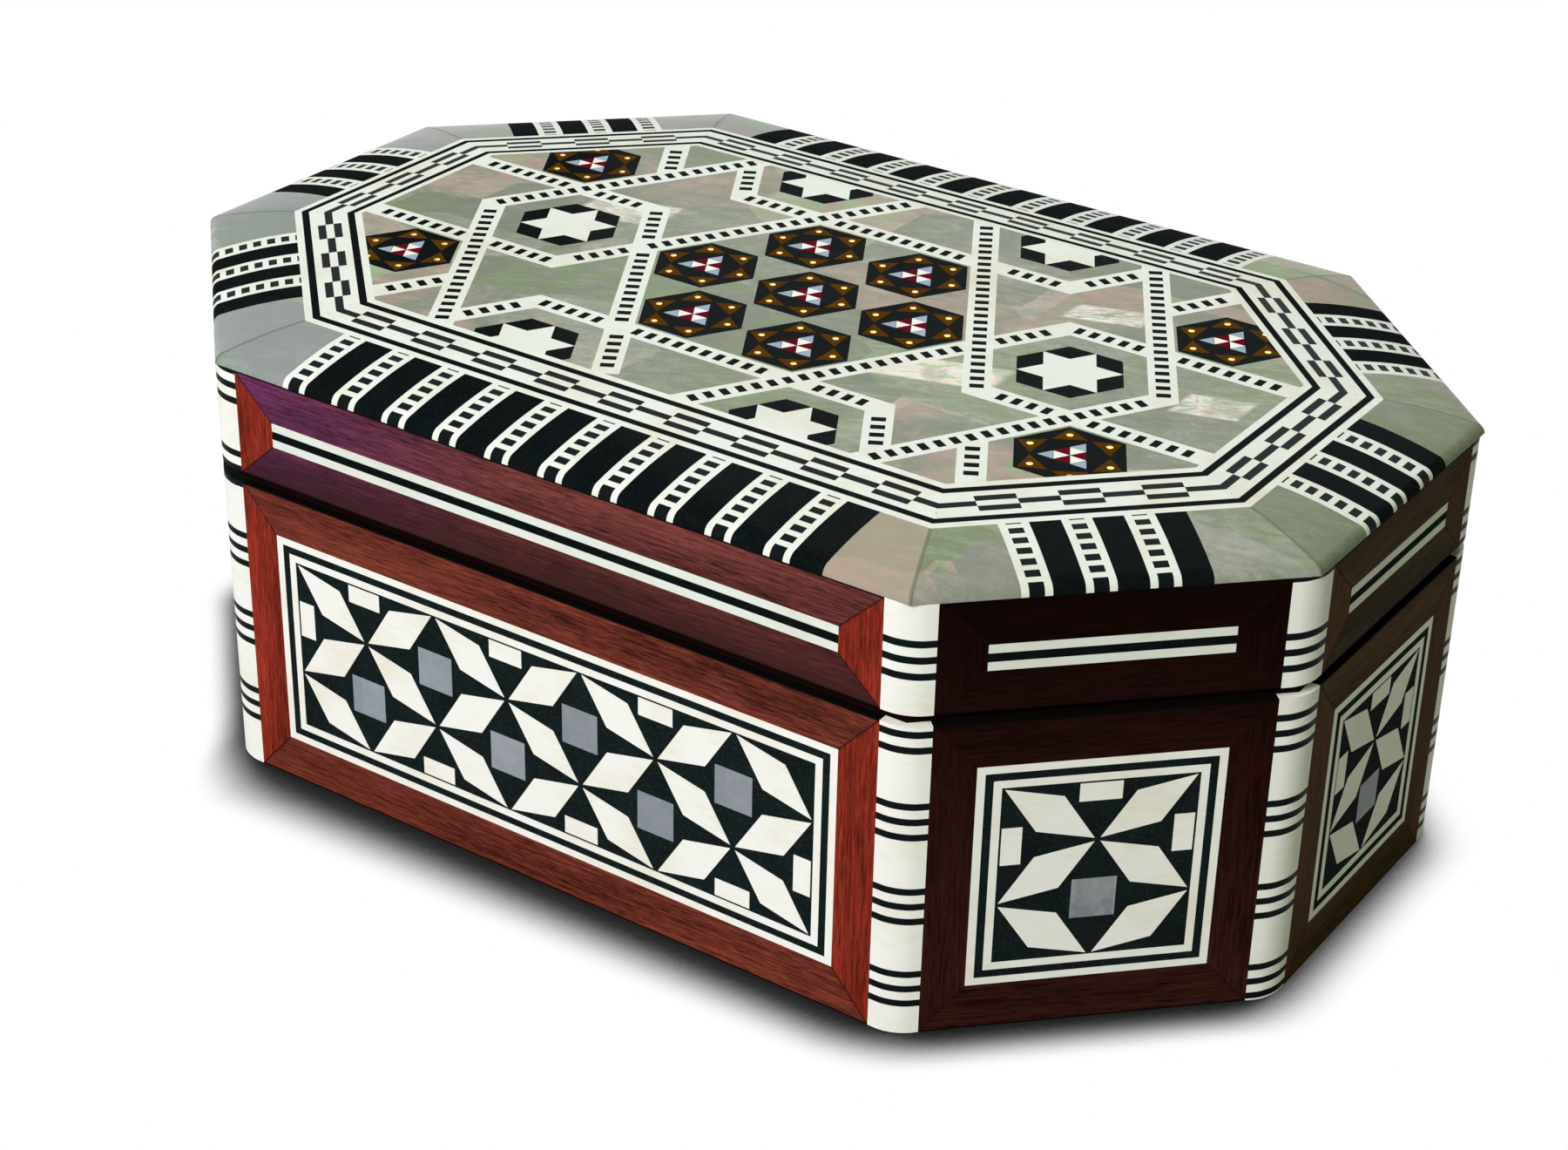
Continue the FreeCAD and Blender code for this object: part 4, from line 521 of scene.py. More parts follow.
def wood_finish(name, low, high, rails, stile_width, light, dark, left, foot_shadow):
    """Veneer with its grain along the rails and up the stiles, which are mitred, under clear lacquer.

    The rails take on another colour towards the left, a painted purple sheen on the lid, and a painted shadow
    towards their foot.
    """
    finish = Finish(name)
    sides = Sides(finish)
    box = sizes()
    half_side = sides.pick(*(span / 2 / MM for span in side_lengths()))
    above = sides.z - low / MM
    below = high / MM - sides.z
    end = (half_side - box.strip_width / MM - abs(sides.along)) / (stile_width / MM)
    rail = (above / (rails[0] / MM)).least(below / (rails[1] / MM))
    upright = end < rail
    # A number of its own for each strip, so that no two have the same grain
    seed = sides.pick(
        sides.sign_y * 29.1, sides.sign_x * 17.3 + sides.sign_y * 37.7, sides.sign_x * 53.3,
    )
    seed = seed + upright * 41.7 * sides.along.sign()
    grain = sides.along * (1 - upright) + sides.z * upright
    across = sides.z * (1 - upright) + sides.along * upright
    broad, fibre, pores = (
        finish.noise(finish.joined(grain * lengthways, across * crossways, seed), 1.0, detail, roughness)
        for lengthways, crossways, detail, roughness in WOOD_LAYERS
    )
    streak = (broad - 0.5) * 1.0 + (fibre - 0.5) * 1.6 + (pores - 0.5) * 0.9 + 0.5
    streak = streak.held()
    rail_shade = finish.ramp(streak, (0.12, dark, 0.7), (0.5, light, 1), (0.88, light, 2.0))
    stile_shade = finish.ramp(streak, (0.12, "stile", 0.4), (0.5, "stile", 1), (0.88, "stile", 1.7))
    # Painted purple sheen on the lid's rails towards the left; the base's rails keep their own colour there
    sheen_shade = finish.ramp(streak, (0.12, left, 0.5), (0.88, left, 1.6))
    rail_shade = finish.mix(((sides.x * -1 - SHEEN_START) / SHEEN_FADE).held(0.8), rail_shade, sheen_shade)
    # Painted shadow that darkens the lid's rails towards their foot
    shadow = (below / ((high - low) / MM) - FOOT_SHADOW_START).most(0.0) * foot_shadow
    rail_shade = finish.mix(shadow.least(1.0), rail_shade, tint(dark))
    shade = finish.mix(upright, rail_shade, stile_shade)
    # Painted olive light on the two short sides
    short_light_shade = finish.ramp(streak, (0.12, "short_side_light", 0.6), (0.88, "short_side_light", 1.5))
    shade = finish.mix(sides.is_short * 0.85, shade, short_light_shade)
    corner_shade = finish.ramp(streak, (0.15, "corner_wood", 0.4), (0.85, "corner_wood", 1.9))
    climb = (sides.z / (LID_SHOULDER / MM)).held()
    corner_shade = finish.mix(climb * 0.92, corner_shade, tint("corner_wood", 0.12))
    shade = finish.mix(sides.is_corner, shade, corner_shade)
    seam = abs(end - rail) < SEAM_SHARE
    shade = finish.mix(seam * 0.7, shade, tint(dark, 0.4))
    # Painted shadow along the top and bottom edges of the veneer
    rim = above.least(below) < RIM_SHADOW_WIDTH
    shade = finish.mix(rim, shade, tint("rim"))
    return finish.shine(
        base_color=shade, roughness=0.44 - streak * 0.16, normal=finish.bump(fibre, 0.1, 0.0002),
        coat_weight=sides.pick(0.05, 0.01, 0.03), coat_roughness=0.14, specular_ior_level=0.0,
    )


def bone_finish(name, marks=None, light="bone", warmth=1.0):
    """Polished bone with faint warm streaks, and dark marks where a function of its place asks for them."""
    finish = Finish(name)
    cloud = finish.noise(finish.spot(), 0.11, detail=2.0)
    grain = finish.noise(finish.spot((0.5, 0.5, 2.0)), 0.9, detail=4.0)
    streak = (cloud - 0.45) * 2.2 + (grain - 0.5) * 1.1
    shade = finish.mix(streak.held(), tint(light), tint("bone_warm", warmth))
    coat = 0.06
    if marks is not None:
        dark = marks(Sides(finish))
        shade = finish.mix(dark, shade, tint("black"))
        coat = (1 - dark) * coat
    return finish.shine(
        base_color=shade, roughness=0.36 + grain * 0.14, normal=finish.bump(grain, 0.05, 0.0001),
        coat_weight=coat, coat_roughness=0.1, specular_ior_level=0.02,
    )


def lid_bone(name, marks=None):
    """The greyer bone of the lid."""
    return bone_finish(name, marks, "lid_bone", 0.86)


def black_finish(name, share=1.0):
    """Polished black inlay with fine dust in it, paler by a share."""
    finish = Finish(name)
    spot = finish.spot()
    dust = finish.noise(spot, 2.6, detail=2.0)
    cloud = finish.noise(spot, 0.3, detail=2.0)
    shade = finish.mix(cloud, tint("black", 0.4 * share), tint("black", 1.1 * share))
    shade = finish.mix((dust - 0.5).most(0.0) * 0.5, shade, tint("shell", 0.2 * share))
    return finish.shine(
        base_color=shade, roughness=0.36 + dust * 0.2, normal=finish.bump(dust, 0.05, 0.0001),
        coat_weight=0.02, coat_roughness=0.1, specular_ior_level=0.0,
    )


def shell_finish(name, base, lights, patch, gleams=()):
    """Shell with drifting light of two colours, cut from pieces that lie at different angles.

    Each gleam is the middle, the reach and the brightness of a painted highlight on a piece.
    """
    finish = Finish(name)
    sides = Sides(finish)
    x = sides.x
    y = sides.y
    spot = finish.spot()
    # A number of its own for each piece of the margin
    number = sides.pick(1.3, 2.9, 4.7) + sides.sign_x * 7.1 + sides.sign_y * 13.7 + sides.along.sign() * 23.9
    own = finish.node("ShaderNodeTexWhiteNoise", {"noise_dimensions": "1D"}, {"W": number}, output="Value")
    cells = finish.node(
        "ShaderNodeTexVoronoi", {"feature": "F1", "distance": "CHEBYCHEV"},
        {"Vector": finish.spot((0.8, 1.2, 0.1)), "Scale": patch, "Randomness": 0.85},
        output="Color",
    )
    lean = finish.node("ShaderNodeSeparateColor", sockets={0: cells})
    depth = lean.part("Green")
    layers = finish.noise(spot, 0.13, detail=5.0, roughness=0.55, distortion=1.2)
    slanted = finish.joined(x * 0.35 + y * 0.6, y * 1.6 - x * 0.8, sides.z)
    silk = finish.noise(slanted, 0.4, detail=4.0, distortion=0.8)
    grains = finish.noise(spot, 1.9, detail=3.0, roughness=0.6)
    hue = (layers - 0.5) * 1.05 + (lean - 0.5) * 0.85 + (own - 0.5) * 0.35 + 0.5
    cool, warm = lights
    light = finish.ramp(
        hue, (0.12, cool, 0.85), (0.36, base, 0.92), (0.58, base, 1.06), (0.78, warm, 0.95),
        (0.95, cool, 1.2),
    )
    gleam = (silk - 0.5) * 0.8 + (depth - 0.5) * 0.3 + (grains - 0.5) * 0.5 + 0.5
    # Painted sheen lightens some pieces of shell and painted shade darkens others
    shade = finish.mix((gleam - 0.45).held() * 0.5, light, tint("bone", 0.9))
    shade = finish.mix((0.52 - gleam).most(0.0) * 0.8, shade, tint(base, 0.42))
    in_margin = sides.inset < sizes().margin_width / MM
    on_right = sides.sign_x > 0
    # Painted light and shade on the margin: blue-grey at the left, shade at the right end, pink at the front
    # right
    places = (
        (1 - on_right, 0.45, tint("blue_shell", 1.2)), (sides.is_short * on_right, 0.5, tint(cool, 0.5)),
        (sides.is_long * on_right * (sides.sign_y < 0), 0.6, tint(warm, 1.02)),
    )
    for place, strength, glow in places:
        shade = finish.mix(place * in_margin * strength, shade, glow)
    shade = finish.mix(sides.turn * in_margin * 0.55, shade, tint(base, 0.35))
    # Painted highlights in streaks of two colours on the listed pieces
    for middle, reach, glow in gleams:
        away = (abs(x - middle[0]) / reach[0]).most(abs(y - middle[1] - (x - middle[0]) * 0.3) / reach[1])
        share = ((1 - away) * 7).held() * (0.45 + (layers - 0.4).most(0.0) * 3.0).least(0.92)
        streaks = ((silk - 0.38) * 4.2).held()
        rainbow = finish.ramp(
            streaks, (0.0, cool, glow), (0.4, "bone", 0.96), (0.62, warm, glow), (1.0, "bone", 0.9),
        )
        shade = finish.mix(share, shade, rainbow)
    return finish.shine(
        base_color=shade, roughness=0.34 - gleam * 0.14, normal=finish.bump(silk, 0.08, 0.0002),
        coat_weight=0.06, coat_roughness=0.08, specular_ior_level=0.03,
    )


def corner_lines(sides):
    """Groups of three thin black lines across the corner strips, cut at a different place on each."""
    box = sizes()
    period = box.line_period / MM
    pitch = box.line_pitch / MM
    near_short = sides.is_short.most(abs(sides.x) > (HALF_LENGTH - box.corner_cut / 2) / MM)
    left = (1 - sides.sign_x) / 2
    back = (1 + sides.sign_y) / 2
    on_lid = sides.z > (BASE_RIM + LID_RIM) / 2 / MM
    on_base, on_top = (
        near_short * short_shift + left * left_shift + back * back_shift + height
        for height, short_shift, left_shift, back_shift in (BASE_LINES, LID_LINES)
    )
    start = on_base + on_lid * (on_top - on_base)
    offset = (sides.z - start + period / 2) % period - period / 2
    line = abs((offset + pitch / 2) % pitch - pitch / 2) < LINE_HALF_WIDTH
    return line * (abs(offset) < pitch * LINE_GROUP_REACH)


def margin_spans(side):
    """Starts of the ladders on one side of the margin from its middle, and the width of its black bars."""
    box = sizes()
    if side % 4 == 0:
        count = LONG_LADDERS
        room = side_lengths(box.margin_width)[0] - 2 * box.long_end
        bar = room / count - box.ladder_width
    else:
        count = SHORT_LADDERS
        bar = box.short_bar
    pitch = box.ladder_width + bar
    return [(step - count / 2) * pitch for step in range(count)], bar


def margin_squares(sides):
    """The black squares of the margin's ladders, which run from the edge to the band."""
    box = sizes()
    rooms = []
    pitches = []
    for side in (0, 1, 2):
        starts, bar = margin_spans(side)
        pitches.append((box.ladder_width + bar) / MM)
        rooms.append(len(starts) * pitches[-1])
    across = (sides.along + sides.pick(*rooms) / 2) % sides.pick(*pitches)
    in_row = abs(across - box.ladder_width / MM / 2) < (box.ladder_width / 2 - box.ladder_rail) / MM
    return in_row * ((sides.inset % MARGIN_STEP) < MARGIN_SQUARE)


def band_dashes(sides):
    """The three rows of dashes in the lid's band."""
    box = sizes()
    start = (box.margin_width + 3 * box.band_line) / MM
    row = (sides.inset - start) / (box.band_checker / MM / 3)
    middle = abs(row - 1.5) < 0.5
    period = box.dash_period / MM
    dash = ((sides.along + period / 4) % period) < period / 2
    return abs(dash - middle)


def velvet_finish():
    """Short pile that lies this way and that, paler where it is seen edge on."""
    finish = Finish("velvet_pile")
    spot = finish.spot()
    lay = finish.noise(spot, 0.09, detail=3.0, distortion=1.0)
    pile = finish.noise(spot, 5.0, detail=2.0)
    turned = lay * 0.75 + pile * 0.3
    shade = finish.ramp(turned, (0.3, "velvet", 0.45), (0.52, "velvet", 1), (0.75, "velvet", 1.7))
    return finish.shine(
        base_color=shade, roughness=0.85 + pile * 0.1, normal=finish.bump(pile, 0.5, 0.0003),
        specular_ior_level=0.1, sheen_weight=0.6, sheen_roughness=0.4, sheen_tint=tint("velvet", 2.0),
    )


def plain_finish(name, shade, dark, rough, metal=0.0):
    """A brushed or worn finish on metal, plain wood or mosaic tiles, with a darker share of its colour."""
    finish = Finish(name)
    brushed = finish.noise(finish.spot((0.2, 2.5, 2.5)), 0.8, detail=4.0)
    cloud = finish.noise(finish.spot(), 0.15, detail=3.0)
    share = (brushed * 0.5 + cloud * 0.7 - 0.1).held()
    return finish.shine(
        base_color=finish.mix(share, tint(shade, dark), tint(shade)), roughness=rough + brushed * 0.14,
        normal=finish.bump(brushed, 0.06, 0.0002), metallic=metal, specular_ior_level=0.5 * metal,
    )


# Modelling with Blender's own tools


def deselect():
    """Leave edit mode and clear the selection."""
    if bpy.context.object is not None and bpy.context.object.mode != "OBJECT":
        bpy.ops.object.mode_set(mode="OBJECT")
    bpy.ops.object.select_all(action="DESELECT")


def activate(piece):
    """Select one piece alone and make it the active one."""
    deselect()
    piece.select_set(True)
    bpy.context.view_layer.objects.active = piece


def rectangle(middle, half_x, half_y):
    """The corners of a level rectangle round a spot."""
    signs = ((-1, -1), (1, -1), (1, 1), (-1, 1))
    return [middle + Vector((half_x * x, half_y * y, 0)) for x, y in signs]


def upright_rectangle(first, last, low, high):
    """The corners of a rectangle that stands on the line between two spots."""
    return [first + UP * low, last + UP * low, last + UP * high, first + UP * high]


def flat_piece(name, outline):
    """A flat face with the given corners, ready in edit mode with all selected."""
    deselect()
    bpy.ops.mesh.primitive_circle_add(vertices=len(outline), radius=MM, fill_type="NGON")
    piece = bpy.context.object
    piece.name = name
    piece.data.name = name
    for vertex, spot in zip(piece.data.vertices, outline):
        vertex.co = spot
    bpy.ops.object.mode_set(mode="EDIT")
    bpy.ops.mesh.select_all(action="SELECT")
    return piece


def face_outwards():
    """Turn all the faces of the piece in edit mode outwards."""
    bpy.ops.mesh.select_all(action="SELECT")
    bpy.ops.mesh.normals_make_consistent(inside=False)


def thicken(move):
    """Pull the selected faces out into a solid, in edit mode, and turn its faces outwards."""
    bpy.ops.mesh.extrude_region_move(TRANSFORM_OT_translate={"value": tuple(move)})
    face_outwards()


def select_beyond(piece, kind, spot, way):
    """Select in edit mode only the edges or the faces that lie wholly beyond a plane."""
    bpy.ops.mesh.select_mode(type=kind)
    bpy.ops.mesh.select_all(action="DESELECT")
    bpy.ops.object.mode_set(mode="OBJECT")
    mesh = piece.data
    for part in mesh.edges if kind == "EDGE" else mesh.polygons:
        corners = [mesh.vertices[number].co for number in part.vertices]
        part.select = min((corner - spot).dot(way) for corner in corners) > 0
    bpy.ops.object.mode_set(mode="EDIT")


def cut_off(spot, outwards):
    """Cut away, in edit mode, all that lies beyond a plane and close the cut."""
    bpy.ops.mesh.select_all(action="SELECT")
    bpy.ops.mesh.bisect(
        plane_co=spot, plane_no=outwards.normalized(), use_fill=True, clear_outer=True, threshold=1e-6,
    )


def finished(piece, angle=math.radians(40)):
    """Leave edit mode and shade the piece smoothly over its shallow edges."""
    bpy.ops.object.mode_set(mode="OBJECT")
    bpy.ops.object.shade_smooth_by_angle(angle=angle)
    return piece


def eased_tile(name, outline, rise, ease, segments=1):
    """A thin solid on a level outline, with its upper edges eased."""
    piece = flat_piece(name, outline)
    thicken(UP * rise)
    select_beyond(piece, "EDGE", outline[0] + UP * rise / 2, UP)
    bpy.ops.mesh.bevel(offset=ease, segments=segments, affect="EDGES")
    return finished(piece)


def copied(piece, matrix):
    """A copy of a piece with its own mesh, moved by a matrix that is applied to the mesh."""
    twin = piece.copy()
    twin.data = piece.data.copy()
    twin.data.transform(matrix)
    bpy.context.collection.objects.link(twin)
    return twin


def joined_pieces(name, parts, material, body):
    """Join pieces into one with a finish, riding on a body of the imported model."""
    piece = parts[0]
    activate(piece)
    for part in parts:
        part.select_set(True)
    bpy.ops.object.join()
    piece.name = name
    piece.data.name = name
    piece.data.materials.clear()
    piece.data.materials.append(material)
    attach(piece, body)
    return piece


def turned_place(spot, angle=0.0):
    """The matrix that turns a piece about the upright and moves it to a spot."""
    return Matrix.Translation(spot) @ Matrix.Rotation(angle, 4, "Z")


def along_ray(angle, reach):
    """A spot at an angle in degrees and a reach from the upright axis."""
    turn = math.radians(angle)
    return Vector((reach * math.cos(turn), reach * math.sin(turn), 0))


# Lid pattern measures


def field_inset():
    """Inset of the lid's field inside the margin and the band."""
    box = sizes()
    return box.margin_width + 6 * box.band_line + box.band_checker


def lattice_row():
    """Rows of the lid's lattice: its middle hexagon has two each side of the middle."""
    return (HALF_WIDTH - field_inset() - sizes().lattice_edge) / 3


def lattice_spot(steps):
    """A place on the lattice at the top of the field."""
    row = lattice_row()
    return Vector((steps[0] * row * 2 / math.sqrt(3), steps[1] * row, FIELD_TOP))


def hexagon_radius():
    """Corner radius of a mosaic hexagon, which fits seven inside the middle ladders."""
    box = sizes()
    room = lattice_row() * 2 - box.ladder_width / 2 - box.mosaic_clearance
    return (room * 2 / math.sqrt(3) - box.mosaic_gap) / 3


def mosaic_centres():
    """Seven mosaic hexagons in the middle and one towards each corner."""
    spacing = 2 * hexagon_radius() + sizes().mosaic_gap
    middle = Vector((0, 0, FIELD_TOP))
    centres = [middle] + [middle + along_ray(60 * step, spacing) for step in range(6)]
    for right in (-1, 1):
        for back in (-1, 1):
            lean = 60 if right == back else -60
            centres.append(lattice_spot((4.5 * right, 3 * back)) + along_ray(lean, -right * spacing))
    return centres


def inside_field(spot, margin):
    """Whether a spot lies inside the field by a margin."""
    inset = field_inset() + margin
    slant = (HALF_LENGTH + HALF_WIDTH - sizes().corner_cut) / math.sqrt(2)
    reach = (abs(spot.x) + abs(spot.y)) / math.sqrt(2)
    return abs(spot.x) < HALF_LENGTH - inset and abs(spot.y) < HALF_WIDTH - inset and reach < slant - inset


def on_ladder(spot, ladder, margin):
    """Whether a spot lies on a ladder or within a margin of it."""
    first, last = (lattice_spot(end) for end in ladder)
    run = last - first
    share = (spot - first).dot(run) / run.length
    aside = abs((spot - first).cross(run.normalized()).z)
    half = sizes().ladder_width / 2
    overrun = half * math.tan(math.pi / 6) + margin
    return aside < half + margin and -overrun < share < run.length + overrun


# Operators, one for each piece or group of like pieces


class DressWood(bpy.types.Operator):
    """Lacquered veneer on the sides of the base and the lid, and plain wood behind it"""
    bl_idname = "music_box.dress_wood"
    bl_label = "Wood sides"

    def execute(self, context):
        box = sizes()
        base = wood_finish(
            "base_veneer", 0, BASE_RIM, (box.bottom_rail, box.top_rail), box.stile_width,
            light="wood", dark="wood_dark", left="wood", foot_shadow=0.0,
        )
        lid = wood_finish(
            "lid_veneer", LID_RIM, LID_SHOULDER, (box.lid_low_rail, box.lid_high_rail), box.lid_stile,
            light="lid_wood", dark="lid_wood_dark", left="lid_purple_sheen", foot_shadow=1.4,
        )
        wear(["base_wood_veneer"], base)
        wear(["lid_wood_veneer"], lid)
        boards = plain_finish("carcass_boards", "corner_wood", 0.3, 0.6)
        wear(["base_wall_boards", "partition_board", "cover_ledges", "lid_wall_boards"], boards)
        wear(["bottom_board", "lid_top_board"], plain_finish("flat_boards", "wood", 0.4, 0.6))
        return {"FINISHED"}


class ModelCornerStrips(bpy.types.Operator):
    """Rounded bone strips with black lines up the corners of the base and the lid"""
    bl_idname = "music_box.model_corner_strips"
    bl_label = "Corner strips"

    def execute(self, context):
        material = bone_finish("lined_bone", corner_lines)
        for name, body, low, high in (
            ("base_corner_strips", "base", 0.0, BASE_RIM),
            ("lid_corner_strips", "lid", LID_RIM, LID_SHOULDER),
        ):
            strips = [self.strip(index, low, high) for index in range(8)]
            piece = joined_pieces(f"{name}_rounded", strips, material, body)
            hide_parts(name)
        return {"FINISHED"}

    def strip(self, index, low, high):
        """One strip: its outline drawn at the foot, pulled up and rounded along its outer edge."""
        box = sizes()
        spots = octagon_corners(0)
        tip = spots[index]
        back = (spots[index - 1] - tip).normalized()
        ahead = (spots[(index + 1) % 8] - tip).normalized()
        inner = octagon_corners(box.veneer)[index]
        foot = Vector((0, 0, low))
        outline = [
            tip + foot, tip + ahead * box.strip_width + foot,
            tip + ahead * box.strip_width + UP.cross(ahead) * box.veneer + foot, inner + foot,
            tip + back * box.strip_width - UP.cross(back) * box.veneer + foot,
            tip + back * box.strip_width + foot,
        ]
        piece = flat_piece("corner_strip", outline)
        thicken((0, 0, high - low))
        outwards = (tip - inner).normalized()
        select_beyond(piece, "EDGE", tip - outwards * box.veneer / 2, outwards)
        bpy.ops.mesh.bevel(offset=box.strip_round * math.tan(EIGHTH), segments=7, affect="EDGES")
        return finished(piece)


class ModelSidePanels(bpy.types.Operator):
    """Finishes of the side panels, and the black filling between their petals"""
    bl_idname = "music_box.model_side_panels"
    bl_label = "Side panels"

    def execute(self, context):
        bone = bone_finish("side_bone")
        black = black_finish("side_black", 2.1)
        wear(["base_white_lines", "base_bone_petals", "base_bone_tabs"], bone)
        wear(["base_black_lines", "base_panel_grounds"], black)
        shell = shell_finish("side_shell", "blue_shell", ("blue_shell", "blue_shell"), 0.09)
        wear(["base_shell_squares"], shell)
        plates = [self.filling(side) for side in range(8)]
        piece = joined_pieces("base_panel_filling", plates, black, "base")
        return {"FINISHED"}

    def filling(self, side):
        """A plate of black filling just below the faces of the petals on one side."""
        box = sizes()
        start, end, run, inwards = side_frame(side)
        lines = 3 * box.panel_line
        border = run * (box.strip_width + box.stile_width + lines)
        depth = inwards * FILLING_DEPTH
        low = box.bottom_rail + lines
        high = BASE_RIM - box.top_rail - lines
        outline = upright_rectangle(start + border + depth, end - border + depth, low, high)
        piece = flat_piece("panel_filling", outline)
        bpy.ops.mesh.inset(thickness=FILLING_RIM, depth=0)
        bpy.ops.mesh.select_all(action="SELECT")
        thicken(inwards * FILLING_THICKNESS)
        return finished(piece)


class ModelLidMargin(bpy.types.Operator):
    """Curved shell, ladders and black bars of the lid's margin, and the plain bone and black of the lid"""
    bl_idname = "music_box.model_lid_margin"
    bl_label = "Lid margin"

    def execute(self, context):
        box = sizes()
        ladders = []
        bars = []
        shells = []
        for side in range(8):
            starts, bar = margin_spans(side)
            for start in starts:
                turn = start + box.ladder_width
                ladders.append(self.strip(side, start, turn))
                bars.append(self.strip(side, turn, turn + bar))
            first, last = side_frame(side)[:2]
            reach = (last - first).length / 2 + MM
            for start, end in ((-reach, starts[0]), (starts[-1] + box.ladder_width + bar, reach)):
                shells.append(self.strip(side, start, end, mitred=True))
        black = black_finish("lid_black")
        light = shell_finish("margin_shell_light", "margin_shell", ("shell_green", "shell_pink"), 0.07)
        groups = (
            ("lid_margin_ladders", ladders, lid_bone("margin_ladder_bone", margin_squares)),
            ("lid_margin_bars", bars, black), ("lid_margin_shell", shells, light),
        )
        for name, strips, material in groups:
            piece = joined_pieces(f"{name}_curved", strips, material, "lid")
            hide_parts(name)
        wear(["lid_black_stringing", "lid_star_kites", "lid_mosaic_hexagons"], black)
        wear(["lid_white_stringing", "lid_bone_stars", "lid_field_ladders"], lid_bone("lid_bone"))
        return {"FINISHED"}

    def profile(self):
        """Insets and heights round a strip: its rounded outer edge, its bowed top and its flat back."""
        box = sizes()
        curve = box.margin_round
        quarter = math.pi / 2
        insets = [curve * (1 - math.cos(quarter * step / EDGE_STEPS)) for step in range(EDGE_STEPS + 1)]
        insets += [curve + (box.margin_width - curve) * step / TOP_STEPS for step in range(1, TOP_STEPS + 1)]
        points = []
        for inset in insets:
            share = inset / box.margin_width
            height = LID_SHOULDER + curve + (MARGIN_TOP - LID_SHOULDER - curve) * share
            height += box.margin_bulge * 4 * share * (1 - share)
            beside = max(curve - inset, 0)
            points.append((inset, height - curve + math.sqrt(curve ** 2 - beside ** 2)))
        return points + [(box.margin_width, MARGIN_TOP - box.veneer)]

    def strip(self, side, start, end, mitred=False):
        """One strip: its section drawn at one end and pulled along the side, with mitred ends cut off."""
        first, last, run, inwards = side_frame(side)
        middle = (first + last) / 2
        section = [middle + run * start + inwards * inset + UP * height for inset, height in self.profile()]
        piece = flat_piece("margin_strip", section)
        thicken(run * (end - start))
        if mitred:
            inner = octagon_corners(sizes().margin_width)
            cut_off(first, UP.cross(inner[side - 1] - first))
            cut_off(last, UP.cross(last - inner[side]))
            face_outwards()
        return finished(piece)


class DressLidBand(bpy.types.Operator):
    """White and black lines round the chequered row of the lid"""
    bl_idname = "music_box.dress_lid_band"
    bl_label = "Lid band"

    def execute(self, context):
        wear(["lid_band_white"], lid_bone("band_bone"))
        wear(["lid_band_black"], black_finish("band_black"))
        wear(["lid_band_checker"], lid_bone("band_checker_bone", band_dashes))
        return {"FINISHED"}


class ModelLidField(bpy.types.Operator):
    """Shell of the lid's field and the black squares of its ladders"""
    bl_idname = "music_box.model_lid_field"
    bl_label = "Lid field"

    def execute(self, context):
        shell = shell_finish("field_shell", "shell", ("shell_green", "shell_pink"), 0.05, GLEAMS)
        wear(["lid_field_shell"], shell)
        box = sizes()
        half = box.ladder_square / 2
        aside = box.ladder_width / 2 - box.ladder_rail
        outline = rectangle(Vector(), half, aside)
        square = eased_tile("ladder_square", outline, box.tile_proud, box.tile_proud * TILE_EASE)
        squares = []
        for number, ladder in enumerate(LADDERS):
            for spot, angle in self.spots(ladder):
                if not inside_field(spot, aside):
                    continue
                if any(on_ladder(spot, other, half * 0.8) for other in LADDERS[:number]):
                    continue
                squares.append(copied(square, turned_place(spot, angle)))
        bpy.data.objects.remove(square)
        piece = joined_pieces("lid_ladder_squares", squares, black_finish("ladder_black"), "lid")
        return {"FINISHED"}

    def spots(self, ladder):
        """Middles of the squares along a ladder, and the ladder's turn."""
        first, last = (lattice_spot(end) for end in ladder)
        run = last - first
        period = sizes().ladder_period
        count = int(run.length / period)
        angle = math.atan2(run.y, run.x)
        return [(first + run.normalized() * period * (step + 0.5), angle) for step in range(count)]


